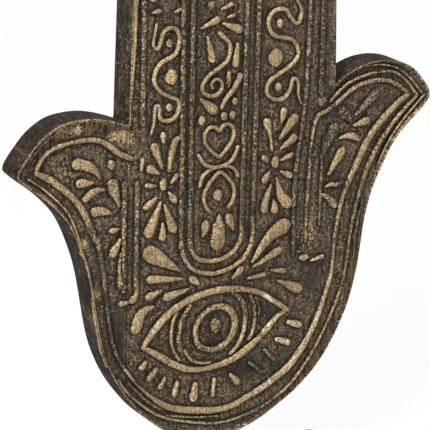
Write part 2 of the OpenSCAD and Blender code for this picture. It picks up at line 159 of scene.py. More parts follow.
@dataclass
class Outline:
    """The hand's outline on its face, as three runs of drawn points."""

    drawing: Drawing
    spacing: float = 1.4
    curve_steps: int = 12
    seam_heights: tuple = (60.0, 260.0)
    closest: float = 0.05
    palm_right: tuple = (
        (-8, 49), (5, 49.6), (15, 51.6), (25, 54.8), (35, 59.2), (45, 64.4), (52.5, 69.7),
        (60, 76.3), (66, 83.4), (71.2, 91), (76.2, 99.8), (80.7, 109.8), (84.2, 121), (87, 134),
        (88.8, 148), (90.4, 160), (92.8, 170.5), (96, 180.5), (100.5, 190), (105, 198.5),
        (110.5, 206), (117, 212), (125, 218.3), (131, 223.5), (133.1, 227.3), (131.5, 232),
        (126.5, 238.4), (120, 245), (111, 249.8), (101, 252.4), (92, 252.9), (84, 252),
        (76, 249.6), (70, 246.6), (65.4, 243),
    )
    fingers: tuple = (
        (65.4, 243), (64.9, 262), (63.7, 290), (62.6, 320), (61.4, 342), (58, 358), (50, 370),
        (37, 375), (24, 370), (16.5, 358), (13.6, 343), (11, 329), (9, 345), (7.6, 366),
        (4.5, 384), (-1.8, 396), (-10, 400), (-18.2, 396), (-24.5, 384), (-27.8, 366),
        (-29, 345), (-30.6, 329), (-32, 344), (-34.6, 359), (-40, 370.5), (-47.5, 375),
        (-55, 370.5), (-60, 359), (-62.4, 344), (-63.6, 320), (-64.7, 290), (-65.7, 262),
        (-66.3, 242.6),
    )
    palm_left: tuple = (
        (-66.3, 242.6), (-72.5, 245.3), (-80, 248), (-88, 250), (-98, 250.6), (-108, 249.2),
        (-118, 243.6), (-125.5, 236), (-130.3, 230), (-131.5, 226.8), (-130.6, 224.6),
        (-125, 219.3), (-117, 212.5), (-109.5, 205), (-103.5, 197.5), (-99, 189), (-95.5, 180),
        (-92.3, 170.5), (-90, 161), (-88.2, 151), (-86.8, 142), (-85.3, 133), (-83.6, 124.5),
        (-80.8, 115), (-76.8, 105), (-71.8, 95.3), (-65.6, 86), (-58.4, 76.6), (-50, 68.2),
        (-41.5, 61.3), (-32, 55.4), (-20, 50.9), (-8, 49),
    )

    def runs(self) -> tuple[list, list, list]:
        """Smooths the three runs and spaces their points evenly."""
        return tuple(
            evenly(smooth_line(list(r), self.curve_steps), self.spacing)
            for r in (self.palm_right, self.fingers, self.palm_left)
        )

    def board_loop(self, x0: float, x1: float) -> tuple[list, list]:
        """Cuts the outline down to one board.

        Args:
            x0: the board's left seam, or a value left of the hand.
            x1: the board's right seam, or a value right of the hand.

        Returns:
            The loop's points, and for each whether it lies on a seam.
        """
        right, top, left = self.runs()
        whole = right[:-1] + top[:-1] + left[:-1]
        margin = self.spacing / 2
        kept, loop, seam = [], [], []
        count = len(whole)
        inside = [x0 - TINY <= p[0] <= x1 + TINY for p in whole]
        start = next(i for i in range(count) if inside[i] and not inside[i - 1])
        for n in range(count):
            i = (start + n) % count
            p, q = whole[i], whole[(i + 1) % count]
            if inside[i]:
                if n == 0 or not inside[i - 1]:
                    kept.append((self.crossing(whole[i - 1], p, x0, x1), True))
                kept.append((p, False))
                if not inside[(i + 1) % count]:
                    kept.append((self.crossing(q, p, x0, x1), True))
        for n, (p, at_seam) in enumerate(kept):
            q, next_at_seam = kept[(n + 1) % len(kept)]
            if math.hypot(p[0] - q[0], p[1] - q[1]) < self.closest:
                continue
            loop.append(p)
            seam.append(at_seam)
            if at_seam and next_at_seam and abs(p[0] - q[0]) < TINY:
                low, high = sorted((p[1], q[1]))
                heights = np.arange(*self.seam_heights, self.spacing)
                between = [(p[0], float(z)) for z in heights if low + margin < z < high - margin]
                loop += between if p[1] < q[1] else reversed(between)
                seam += [True] * len(between)
        return loop, seam

    @staticmethod
    def crossing(outer: Point, inner: Point, x0: float, x1: float) -> Point:
        """Finds where the outline meets a seam.

        Args:
            outer: a point of the outline past the seam.
            inner: the next one on the board.
            x0: the board's left seam.
            x1: the board's right seam.

        Returns:
            The meeting point.
        """
        x = x0 if outer[0] < x0 else x1
        t = (x - inner[0]) / (outer[0] - inner[0]) if abs(outer[0] - inner[0]) > TINY else 0.0
        return (x, inner[1] + t * (outer[1] - inner[1]))


@dataclass
class Stroke:
    """One raised stroke of the carving, with its half width at each station."""

    stations: list
    cut: Cut = Cut.BEAD
    rise: float = 1.9
    gilding: float = 1.0
    curve_steps: int = 6
    end_turns: tuple = (80, 62, 44, 22)

    def rounded(self, spacing: float = 1.1) -> list:
        """Adds round ends to the stroke.

        Args:
            spacing: distance between stations along the stroke.

        Returns:
            Stations (x, z, half width) from tip to tip.
        """
        body = evenly(smooth_line(self.stations, self.curve_steps), spacing)
        first, second = np.array(body[0]), np.array(body[1])
        last, before = np.array(body[-1]), np.array(body[-2])
        out_first = (first - second)[:2] / np.hypot(*(first - second)[:2])
        out_last = (last - before)[:2] / np.hypot(*(last - before)[:2])
        head = [self.end_station(first, out_first, a) for a in self.end_turns]
        tail = [self.end_station(last, out_last, a) for a in reversed(self.end_turns)]
        return head + body + tail

    @staticmethod
    def end_station(q: np.ndarray, way: np.ndarray, degrees: float) -> Station:
        """Finds a station on the round end of a stroke.

        Args:
            q: the stroke's last station.
            way: the direction in which the stroke ends.
            degrees: how far round the end the new station lies.

        Returns:
            The station.
        """
        a = math.radians(degrees)
        r = float(q[2])
        x, z = (float(q[i] + way[i] * r * math.sin(a)) for i in (0, 1))
        return x, z, r * math.cos(a)


@dataclass
class Carving:
    """Every raised stroke on the hand's face."""

    border_half_width: float = 1.9
    line_half_width: float = 1.3
    upright_half_width: float = 1.5
    scroll_half_width: float = 1.15
    fine_half_width: float = 0.6
    eyelid_half_width: float = 1.7
    ring_half_width: float = 1.0
    drop_rise: float = 1.95
    drop_swell: tuple = ((0.35, 0.42), (0.7, 0.82))
    shortest_dot: float = 0.1
    strokes: list = field(default_factory=list)

    def bead(self, points: list, half_width: float, rise: float = 1.9, gilding: float = 1.0) -> None:
        """Adds a bead along drawn points, with the half width of those that don't carry their own."""
        stations = [(p[0], p[1], p[2] if len(p) > 2 else half_width) for p in points]
        self.strokes.append(Stroke(stations, Cut.BEAD, rise, gilding))

    def drop(self, *stations: Station, gilding: float = 1.0) -> None:
        """Adds a drop that swells from its thin end to its round end.

        Args:
            stations: its stations, or only its two ends.
            gilding: how much gold it holds.
        """
        if len(stations) == 2:
            (ax, az, ar), (bx, bz, br) = stations
            swell = [(ax + t * (bx - ax), az + t * (bz - az), ar + g * (br - ar)) for t, g in self.drop_swell]
            stations = (stations[0], *swell, stations[1])
        self.strokes.append(Stroke(list(stations), Cut.DROP, self.drop_rise, gilding))

    def dot(self, x: float, z: float, across: float, up: float, gilding: float = 1.0) -> None:
        """Adds an oval dot.

        Args:
            x: its middle's distance to the right on the drawing.
            z: its middle's height on the drawing.
            across: its half width.
            up: its half height.
            gilding: how much gold it holds.
        """
        reach = max(self.shortest_dot, up - across)
        ends = [(x, z - reach, across), (x, z + reach, across)]
        self.strokes.append(Stroke(ends, Cut.DOT, gilding=gilding))

    def cut_borders(self) -> None:
        """The broad beads that follow the palm's edge and the thumbs."""
        self.bead([
            (-119.5, 226, 1.6), (-113, 222), (-106, 216), (-99, 209), (-94, 202), (-91, 195.5), (-87.6, 187),
            (-84.2, 180, 1.6), (-81.3, 162.5, 1.2), (-80, 150, 1), (-77.5, 132.5, 0.9), (-75, 120, 0.9),
            (-70.6, 109.6, 1), (-64.4, 100, 0.9), (-57.4, 91, 0.9), (-51, 84.4, 1.1), (-46, 80, 1.6),
            (-38.6, 75), (-27.1, 70.6, 2.1), (-15.7, 67.4, 2.1), (-7.1, 65.8), (1.4, 65.7), (10, 67.9),
            (21.4, 71.4, 2), (30, 75, 2.1), (40, 80, 2.2), (47.1, 87.1, 2.2), (52.9, 94.3, 2),
            (58.6, 104.3, 1.7), (63.6, 117.1, 1.5), (67.4, 128.6, 1.2), (68.8, 138.6, 1), (69.4, 150, 1),
            (70.8, 161.4, 1), (73, 172.9, 1.2), (76.8, 182.9, 1.5), (81.4, 191.4), (85.4, 199, 2.2),
            (92, 210, 2.3), (100, 218, 2.2), (107, 223.4, 2), (113, 227.6, 1.7), (117, 229.5, 1.2),
        ], self.border_half_width)
        self.bead([
            (-66.4, 97.4, 0.7), (-60, 89.6, 0.8), (-54, 83, 0.9), (-49.6, 79, 0.8), (-45.4, 76, 0.6),
        ], self.fine_half_width, rise=1.6, gilding=0.5)
        self.bead([
            (-120.5, 227), (-118, 232), (-114, 236), (-107, 238.5), (-99, 239.2), (-90, 239, 1.3),
            (-83, 237, 1.4), (-77, 233, 1.7), (-72, 228.5, 1.6), (-65, 224.5, 1.4),
        ], 1.1, rise=1.7, gilding=0.75)
        self.bead([
            (51, 212, 0.8), (52, 219, 0.9), (53, 224, 1.1), (55.4, 228), (59, 229), (66, 232), (73, 236.5),
            (80, 240), (88, 241.5), (96, 241.5), (103, 240), (109, 237), (113, 234), (117, 231, 1),
        ], self.line_half_width, rise=1.7, gilding=0.65)
        self.bead([
            (-72, 100), (-67.4, 92.4), (-60.4, 84.4), (-52.6, 77), (-45, 71.4), (-36, 66.8), (-22, 61.6),
            (-10, 58), (0, 57), (10, 57.4), (20, 59.2), (30, 62.4), (40, 67.6), (47.4, 74), (56, 84),
            (64, 96.2), (69.8, 107.1), (74.2, 117.1), (77.8, 128.6), (80.2, 147.1), (81.4, 157.1),
            (83.6, 168.6, 1), (87.1, 180, 1.3), (90.7, 190.6, 1.6), (95, 198.4, 1.6), (99, 204.6, 1.5),
            (104.6, 211.4, 1.3), (110.4, 217.2, 1.2), (117, 223, 1), (124, 228), (121.6, 231.4),
            (117, 237), (111, 242), (105, 245), (96, 246.2), (86, 245.7), (76, 243.5), (68, 239), (63, 234.5),
        ], 0.8, rise=1.7, gilding=0.7)

    def cut_fine_lines(self) -> None:
        """The fine lines beside the broad beads."""
        for line, gilding in (
            ([(-124.5, 224), (-116, 217), (-109, 210), (-103, 203), (-98.6, 194), (-95, 183)], 0.95),
            ([(129.5, 227.5), (124, 223), (118, 218), (112, 212), (107, 206), (103, 200), (99, 192)], 0.9),
            ([(95.4, 183, 0.3), (92, 172, 0.5), (88.8, 158), (87.4, 146)], 0.3),
            ([(-88, 151), (-87, 141), (-85, 130), (-83, 120), (-79.4, 110)], 0.75),
            ([(-95, 178.6), (-91.6, 172), (-89.4, 163)], 0.6),
            ([(-41.4, 71), (-27, 66.2), (-16, 63.4), (-7, 61.6)], 0.45),
            ([(66, 243.5), (74, 248), (81, 250.2), (90, 250.9), (100, 249.6), (108, 246.8), (114, 243),
              (120, 237.8), (125, 232.3), (128.6, 228.4)], 0.6),
            ([(84.4, 138), (85, 150), (86.4, 162), (89.4, 172.4)], 0.25),
            ([(-123.4, 233.6), (-118.6, 239.4), (-112, 243.6), (-104, 245.4)], 0.3),
        ):
            self.bead(line, self.fine_half_width, rise=1.5, gilding=gilding)
        self.bead([
            (-64.5, 256, 0.5), (-64, 268, 0.9), (-62.9, 290, 1.35), (-61.8, 320, 1.4), (-60.6, 342, 1.1),
        ], self.line_half_width, rise=1.8, gilding=0.9)

    def cut_straight_beads(self) -> None:
        """The upright beads that part the fingers, worn and dim."""
        for x0, z0, x1, z1, gilding in (
            (-57.6, 242, -56.6, 352, 0.36), (-33.2, 168, -33.4, 322, 0.34), (-27.6, 168, -27.4, 322, 0.28),
            (5.8, 168, 6.4, 322, 0.3), (13, 168, 14, 322, 0.34), (56.5, 240, 56, 344, 0.2),
            (-69, 151, -68.6, 211, 0.36), (-61.3, 153, -60.8, 210, 0.34),
        ):
            self.bead([(x0, z0), (x1, z1)], self.upright_half_width, rise=1.4, gilding=gilding)
        self.bead([
            (48.6, 350), (47.6, 300), (46.8, 256), (45.6, 232), (43.2, 214), (41, 196), (40.6, 172),
            (41, 149),
        ], self.line_half_width, rise=1.4, gilding=0.38)
        self.bead([
            (-61.2, 156, 1), (-60.9, 151, 1.2), (-61.1, 147.6, 1.3), (-62.6, 145.4, 1.3),
        ], self.line_half_width, rise=1.5, gilding=0.6)
        self.bead([
            (51, 211, 0.8), (50.4, 196), (49.6, 172), (49.6, 152, 0.8),
        ], 1.2, rise=1.2, gilding=0.36)
        self.bead([(59.6, 214, 0.6), (58.8, 190), (58.8, 162, 0.6)], 1, rise=1, gilding=0.26)

    def cut_scrolls(self) -> None:
        """The scrolls and the spiral."""
        self.bead([
            (-49.8, 293.6, 0.7), (-51.2, 286.4, 0.7), (-51.4, 282.7, 0.8), (-49.1, 280.5), (-47.3, 284.5),
            (-45.5, 289.1), (-41.8, 290.7), (-38.2, 289.5), (-36.2, 286.4), (-36.2, 281.8), (-37.7, 277.3),
            (-40.9, 275), (-45.5, 273.6), (-49.1, 270.9), (-51.1, 266.4), (-50.5, 261.8), (-46.4, 256.8),
            (-40.9, 253.6), (-36.8, 251.4), (-35.6, 248.2), (-36.8, 244.1), (-40, 241.4), (-44.5, 241.4),
            (-47.3, 243.6), (-47.6, 247.3), (-48.4, 250.2), (-50.2, 249.6), (-50.7, 246.4, 0.9),
            (-51.1, 240.9, 0.7), (-52.7, 235.5, 0.6),
        ], self.scroll_half_width)
        self.bead([
            (38.5, 294, 0.7), (40.8, 290.5, 0.8), (41.1, 285.9), (39, 281.8), (36.3, 283.2), (33.5, 286.8),
            (30.8, 290.5), (27.6, 291.4), (23.1, 290.7), (20.4, 288.2), (19.9, 284.1), (21.7, 279.5),
            (25.8, 276.4), (31.3, 275), (35.8, 273.2), (39, 269.5), (40.1, 265.5), (38.5, 261.8),
            (34, 258.6), (28.5, 255.9), (22.6, 253.2), (19.9, 250), (20.4, 245.5), (24, 242.3),
            (29, 241.1), (33.5, 243.2), (36, 247.3), (36.6, 251), (39, 251.2), (40.8, 248.2, 0.9),
            (40.9, 242.7, 0.7), (43.1, 236.4, 0.6),
        ], self.scroll_half_width)
        self.bead([
            (-10.9, 283.2, 1.5), (-7.3, 280, 1.3), (-4.5, 276.4), (-4.4, 271.8), (-6.4, 267.7), (-10.9, 265),
            (-16.4, 262.3), (-20, 259.1), (-21.6, 255.5), (-19.5, 251.8), (-14.5, 250), (-10.5, 251.4),
            (-8.9, 255, 1), (-10.5, 258.2, 0.9), (-13.6, 258.9, 0.9), (-15.9, 256.8, 0.9), (-15, 254.5, 0.8),
        ], self.scroll_half_width)

    def cut_frames(self) -> None:
        """The U-shaped outlines, the heart, the arch and the crescents."""
        self.bead([
            (-33.2, 172), (-32.4, 165.5), (-29, 158), (-23, 152.6), (-15, 149.6), (-8, 149),
            (0, 150.2), (7, 153.6), (11.6, 159.6), (13, 166), (13, 172),
        ], self.line_half_width, gilding=0.75)
        self.bead([
            (-27.6, 172), (-26.6, 165.5), (-22.5, 159.8), (-15.5, 157), (-9, 156.4), (-2, 157.8),
            (3, 161.6), (5.4, 166.5), (5.8, 172),
        ], self.line_half_width, gilding=0.75)
        ring = self.ring_half_width
        self.bead([
            (-10.5, 230.2), (-13, 232.6), (-16.5, 232.8), (-19, 230.4), (-19.4, 226.5), (-17.5, 222.5),
            (-14, 218.6), (-10.2, 215.6),
        ], ring)
        self.bead([
            (-9.6, 230.4), (-7.8, 232.6), (-4.4, 233), (-1.6, 230.6), (-0.8, 226.6), (-2.5, 222.6),
            (-6, 218.5), (-9.4, 215.6),
        ], ring)
        self.bead([
            (-15.2, 185), (-17.6, 188.4), (-19.2, 193), (-18.6, 197.4), (-15.6, 202), (-12.4, 205.2),
            (-9.6, 206.9), (-6.6, 205.2), (-3, 201.4), (-0.2, 197.2), (0.4, 193), (-0.8, 189), (-3.4, 185.8),
        ], ring)
        self.bead([
            (-23, 218.4), (-19.8, 213.6), (-15, 210.6), (-9, 209.8), (-3, 211.4), (0, 214.6), (2, 219),
        ], ring)
        self.bead([
            (-22, 201.4), (-20.4, 206.4), (-15.4, 209.2), (-9, 210), (-3, 208.8), (0.8, 206), (2.4, 202.6),
        ], ring)

    def cut_eye(self) -> None:
        """The eye in the palm, with its lids, its oval iris, a short bow beside that and the pupil."""
        self.bead([
            (-56.8, 115.8, 1.3), (-50, 123.8, 2.2), (-41.4, 131, 2.3), (-31.4, 135.8, 2.2), (-21.4, 138, 2.1),
            (-10, 138.6, 2), (1.4, 137, 2), (11.4, 134, 1.7), (21.4, 129.4, 1.5), (30, 122.7, 1.6),
            (37.9, 116.4, 1.4),
        ], self.eyelid_half_width, gilding=0.9)
        self.bead([
            (-56, 115, 1.4), (-47.1, 108.6, 2), (-38.6, 101.8, 2.1), (-28.6, 96, 1.9), (-20, 93.6),
            (-10, 93.2), (0, 94.2, 2.1), (9, 97.4, 2.5), (18.6, 102.9, 2), (25.7, 108.6, 2),
            (31.2, 113.4, 1.5), (36.4, 115.6, 1),
        ], self.eyelid_half_width, gilding=0.85)
        for line, half_width, gilding in (
            ([(-36, 131.4), (-38.3, 124.3), (-38.9, 115.7), (-37.1, 108.6), (-33.4, 102.2)], 0.9, 0.9),
            ([(-27.1, 133.4), (-31, 128), (-33.6, 120), (-33.9, 112), (-31.8, 106.6)], 1.5, 0.42),
            ([(-29.8, 107), (-26, 101), (-20, 97.4), (-13.4, 96.2)], 0.9, 0.85),
            ([(1.4, 134.4), (7.1, 128.6), (9.6, 121), (9.8, 117)], 1.5, 0.4),
            ([(9.6, 115.2), (8.4, 108.6), (5, 102.4), (0.4, 98.4)], 1.1, 0.95),
            ([(12.6, 131), (15.4, 124.3), (16.2, 115.6), (14.9, 108.4), (12.4, 104.4)], 1.1, 0.45),
            ([(16.6, 128.4), (19, 121.4), (18.6, 113.4)], 0.7, 0.3),
        ):
            self.bead(line, half_width, rise=1.6, gilding=gilding)
        iris = [math.radians(a) for a in range(0, 361, 20)]
        self.bead([
            (-10.4 + 13.2 * math.cos(a), 116.2 + 12.6 * math.sin(a), 1.8 + 0.35 * math.cos(a)) for a in iris
        ], self.line_half_width, gilding=0.64)
        bow = [math.radians(a) for a in range(25, 156, 26)]
        self.bead([
            (-21 - 0.7 * math.sin(a), 116.4 + 10.6 * math.cos(a), 0.5) for a in bow
        ], self.fine_half_width, rise=1.5, gilding=0.3)
        self.dot(-10, 118, 4, 4.2, 0.38)

    def cut_lashes(self) -> None:
        """The lashes under the eye."""
        for x0, z0, r0, x1, z1, r1, gilding in (
            (-55.4, 106.8, 0.9, -57.7, 103.8, 1.7, 1), (-48.6, 100.7, 1.2, -52.9, 96.4, 1.8, 1),
            (-43, 93.8, 0.9, -45.8, 89.6, 1.5, 1), (-35, 89.3, 1.1, -36.4, 83.1, 1.8, 1),
            (-22.9, 85.4, 1.4, -24, 77.9, 2.5, 1), (-10.3, 85, 1, -11.4, 75.7, 1.1, 0.9),
            (0.7, 85, 1.2, 5, 80, 2.2, 1), (13.6, 89.3, 1, 21.1, 82.1, 1.1, 0.5),
            (23.6, 95, 1, 29.6, 87.9, 1.2, 0.5), (31.8, 99.4, 1.3, 39, 96, 2.1, 1),
            (39.6, 108.2, 1.4, 46.6, 105.1, 2.1, 1),
        ):
            self.drop((x0, z0, r0), (x1, z1, r1), gilding=gilding)

    def cut_palm(self) -> None:
        """The drops above and beside the eye."""
        for x0, z0, r0, x1, z1, r1 in (
            (-34, 155.4, 0.6, -52.6, 169, 5), (-32.5, 150.4, 0.6, -52.5, 154.2, 2.4),
            (-28.5, 143.4, 0.6, -42, 141.8, 2.5), (-63.7, 144.9, 2, -63.3, 145.2, 2.1),
            (-45.6, 146.3, 0.6, -53.1, 144.4, 2.4), (14, 147.2, 0.6, 30.6, 153.4, 2.4),
            (11, 141, 0.6, 21, 141.2, 1.4), (27, 142.4, 0.6, 34.5, 140.6, 1.6),
            (31, 135.4, 0.6, 44.6, 127.8, 3.2), (0.6, 143.4, 0.6, 5.4, 147.4, 2.2),
            (-21.6, 144.8, 0.8, -25.6, 148.4, 2.4), (51.5, 145.3, 0.8, 47.9, 145.7, 2.2),
            (53.6, 142.6, 0.6, 61.4, 143.6, 1.2), (-66.3, 144.1, 0.6, -70.6, 144.4, 1.6),
        ):
            self.drop((x0, z0, r0), (x1, z1, r1))
        self.drop((-50.3, 138.1, 0.6), (-55, 137.5, 2), (-58.8, 135, 3), (-61.3, 128.6, 3.6))
        self.drop((13.5, 150.5, 0.6), (20.4, 159, 2.6), (26.6, 164.4, 3.8), (33.4, 167.1, 4.8))
        self.drop((-71, 173, 0.5), (-71.8, 165, 0.9), (-71.4, 155, 1.8), gilding=0.5)
        self.drop((-72.5, 187, 0.6), (-76.3, 186.9, 1.5), gilding=0.8)
        self.drop((-71.3, 181, 0.6), (-75.6, 174.4, 2.6), gilding=0.8)
        self.drop((62.2, 185, 0.5), (65.4, 185.9, 1), (68.5, 184.9, 1.3), (71.3, 185.6, 0.7), gilding=0.8)
        self.drop((59, 181.4, 0.6), (62.4, 179.4, 1.4), (65.8, 176.4, 2), (68.3, 173.4, 2.1))

    def cut_flowers(self) -> None:
        """The two flowers at the fingers' feet, each petal a drop."""
        self.dot(-45, 206.5, 2.1, 3.1)
        self.dot(26.9, 206, 2.3, 3.2)
        for x0, z0, r0, x1, z1, r1 in (
            (-46.4, 197, 0.6, -53.6, 181.6, 3.2), (-44, 194.6, 0.6, -38.8, 180.8, 2.7),
            (-45.2, 184.6, 0.6, -45.2, 177.2, 2.3), (-49.4, 200, 0.6, -55.4, 196, 1.9),
            (-41.4, 201.4, 0.6, -38.4, 197, 2.2), (-50, 206.6, 0.6, -54.6, 207.6, 1.5),
            (-40, 206.6, 0.6, -37, 209.8, 1.4), (-47.6, 212.8, 0.6, -53, 216.6, 2.4),
            (-46, 216, 0.8, -50.6, 228, 2.4), (-45.3, 230, 0.8, -45.3, 233.6, 1.8),
            (-58.6, 217, 0.8, -58, 222.4, 1.2), (26.6, 183.6, 0.6, 27.4, 178.4, 2.3),
            (23, 200.8, 0.6, 20.2, 197, 2.1), (31, 199.6, 0.6, 36.6, 196.6, 1.9),
            (22, 206.8, 0.6, 19.4, 209.8, 1.7), (31, 206.4, 0.6, 37, 208.2, 1.5),
            (30.6, 213, 0.6, 38.6, 217.6, 2.4), (29.6, 219.2, 0.8, 38.5, 228.6, 3),
            (30.4, 228.4, 0.6, 31.6, 234, 2.2),
        ):
            self.drop((x0, z0, r0), (x1, z1, r1))
        self.drop(
            (-41.6, 213.5, 0.8), (-40.8, 219, 1.5), (-39.6, 224.5, 1.9), (-37.8, 229.2, 1.8),
            (-35.4, 230.9, 1),
        )
        self.drop((24.5, 213.2, 0.6), (23.6, 219, 0.8), (22.3, 224.5, 1.3), (20.8, 229.4, 2.6))
        self.drop((28.4, 196, 0.6), (29.6, 191, 1.6), (31.6, 185.8, 2.8), (35.4, 181, 3.6))
        self.drop((24.5, 193.2, 0.6), (21.3, 185.5, 1.9), (20.4, 179.8, 2.3))

    def cut_middle(self) -> None:
        """The drops of the middle band."""
        for x0, z0, r0, x1, z1, r1, gilding in (
            (-22.4, 287.8, 0.6, -13, 291, 1.9, 1), (-8.8, 288.4, 0.6, 0.6, 284.2, 2.4, 1),
            (-10, 296.2, 0.6, -4.4, 298.2, 1.2, 1), (-6, 291.4, 0.5, -2.6, 292.2, 0.9, 1),
            (-18.6, 282.3, 0.7, -15.5, 270.6, 2.2, 0.7), (0.2, 276, 0.8, -0.8, 266, 2.2, 1),
            (-22.3, 249.5, 0.6, -14.5, 242.7, 3, 0.85), (-19.5, 172.3, 0.6, -17.7, 178.2, 2.6, 0.9),
            (0, 172.3, 0.6, -2.7, 179, 2.8, 0.9), (-16.9, 298.6, 1.8, -16.7, 299.4, 2, 0.4),
        ):
            self.drop((x0, z0, r0), (x1, z1, r1), gilding=gilding)
        self.drop(
            (-9.1, 182.4, 0.5), (-9.3, 179.5, 2.2), (-9.4, 176, 3.9), (-9.5, 171, 5), (-9.6, 167.4, 5.1),
            gilding=0.8,
        )
        self.drop(
            (-9.1, 242.7, 0.8), (-6.4, 247.3, 1.1), (-2.7, 250.9, 1.4), (0.4, 254.8, 1.7), (2.2, 258.4, 1.7),
        )
        self.drop((-5, 253.9, 0.8), (-5, 257.7, 1.4), (-4.8, 261.6, 0.9), gilding=0.6)
        for x, z, across, up in (
            (-10.4, 194, 2.9, 3), (-21.4, 237.7, 2.3, 2.4), (-7.3, 237.7, 2.1, 2.2), (-1.8, 237.5, 2, 2.1),
            (-0.7, 245, 1.8, 1.2), (-42.1, 282.7, 1.9, 2), (-40.5, 264.5, 3.9, 4), (-41.8, 248.2, 1.9, 2),
            (27.4, 283.6, 2.2, 2.3), (25.2, 265, 4.6, 4.8), (27.6, 248.4, 2.2, 2.3),
        ):
            self.dot(x, z, across, up)

    def cut_thumbs(self) -> None:
        """The drops on the two thumbs."""
        self.drop((-83.4, 217.2, 0.6), (-86, 221.2, 1.7), (-90.4, 224.8, 2.7), (-96.6, 227.2, 3.2))
        self.drop((-87.5, 215.5, 0.6), (-95, 216.5, 2.5))
        self.drop((-81, 210.5, 0.6), (-84.6, 210.9, 1.5), (-88.2, 209.9, 2), (-92, 207.5, 1.8))
        self.drop((-72, 200, 0.7), (-75.8, 211.8, 3.7), gilding=0.6)
        self.drop((-77, 196.8, 0.7), (-81.5, 198.7, 2.3), (-86, 199.5, 2.9))
        self.dot(-76.7, 223.2, 2.2, 2.4)
        self.drop((81, 224, 0.7), (94, 233.6, 3), gilding=0.44)
        self.drop((78, 220.5, 0.6), (72.4, 226.8, 3.6), gilding=0.28)
        self.drop((80, 217.8, 0.6), (88, 219, 2.4))
        self.drop((70.5, 212, 0.6), (76, 212.5, 1.6), (80, 211.5, 2), (83.8, 208.5, 0.9))
        self.drop((63.5, 192.3, 0.8), (72, 203.8, 3), gilding=0.75)
        self.drop((58, 203, 0.7), (66.2, 218.4, 3.4), gilding=0.38)

    def cut_fingertips(self) -> None:
        """The tops of the three fingers, which the photograph leaves out."""
        self.dot(-10, 318, 2.6, 2.7)
        self.dot(-10, 330, 3.4, 3.5)
        self.dot(-44.6, 327, 2, 2.1)
        self.dot(29.5, 326.6, 2.2, 2.3)
        for x0, z0, r0, x1, z1, r1 in (
            (-45, 322, 0.6, -51.5, 308.6, 3), (-44.4, 322, 0.6, -38.6, 308.6, 2.7),
            (-44.8, 326, 0.6, -54, 326.4, 1.9), (-44, 326, 0.6, -37, 327.4, 1.7),
            (-45, 331, 0.7, -50.6, 343.6, 2.6), (-44, 331, 0.7, -38.8, 343.6, 2.4),
            (-44.6, 336, 0.7, -44.8, 356, 2.6), (-52.4, 300, 0.6, -48.4, 300.4, 1.3),
            (-38.6, 298.6, 0.6, -36, 299.6, 1),
            (29, 322, 0.6, 22.4, 308.6, 2.7), (30, 322, 0.6, 37, 308.6, 3.4),
            (29, 326, 0.6, 21.6, 327.4, 1.8), (30, 326, 0.6, 38.4, 327, 1.9),
            (29, 331, 0.7, 23.4, 343.6, 2.4), (30, 331, 0.7, 37.4, 343.6, 2.8),
            (29.5, 336, 0.7, 30, 356, 2.8),
            (-10, 346, 0.7, -18, 358, 2.4), (-10, 346, 0.7, -2, 358, 2.4), (-10, 352, 0.7, -10, 376, 3),
        ):
            self.drop((x0, z0, r0), (x1, z1, r1))

    def build(self) -> list:
        """Cuts the whole carving.

        Returns:
            Its strokes.
        """
        for cut in (
            self.cut_borders, self.cut_fine_lines, self.cut_straight_beads, self.cut_scrolls, self.cut_frames,
            self.cut_eye, self.cut_lashes, self.cut_palm, self.cut_flowers, self.cut_middle, self.cut_thumbs,
            self.cut_fingertips,
        ):
            cut()
        return self.strokes


@dataclass(frozen=True)
class Ripple:
    """A gentle unevenness over the drawing, the same on every run."""

    across: float
    up: float
    layer: float
    amount: float

    def at(self, x: float, z: float) -> float:
        """The unevenness at a drawn point."""
        return self.amount * noise.noise(Vector((x * self.across, z * self.up, self.layer)))


@dataclass(frozen=True)
class Patch:
    """An oval patch of the hand's face, and how strongly something shows there."""

    x: float
    z: float
    across: float
    up: float
    amount: float

    def at(self, x: float, z: float) -> float:
        """The patch's strength at a drawn point."""
        return self.amount * math.exp(-((x - self.x) / self.across) ** 2 - ((z - self.z) / self.up) ** 2)


def patches(*rows: tuple) -> tuple:
    """Makes patches from rows of x, z, reach across, reach up and amount."""
    return tuple(Patch(*row) for row in rows)


def summed(marks: tuple, x: float, z: float) -> float:
    """Adds up patches or ripples at a drawn point."""
    return sum(mark.at(x, z) for mark in marks)


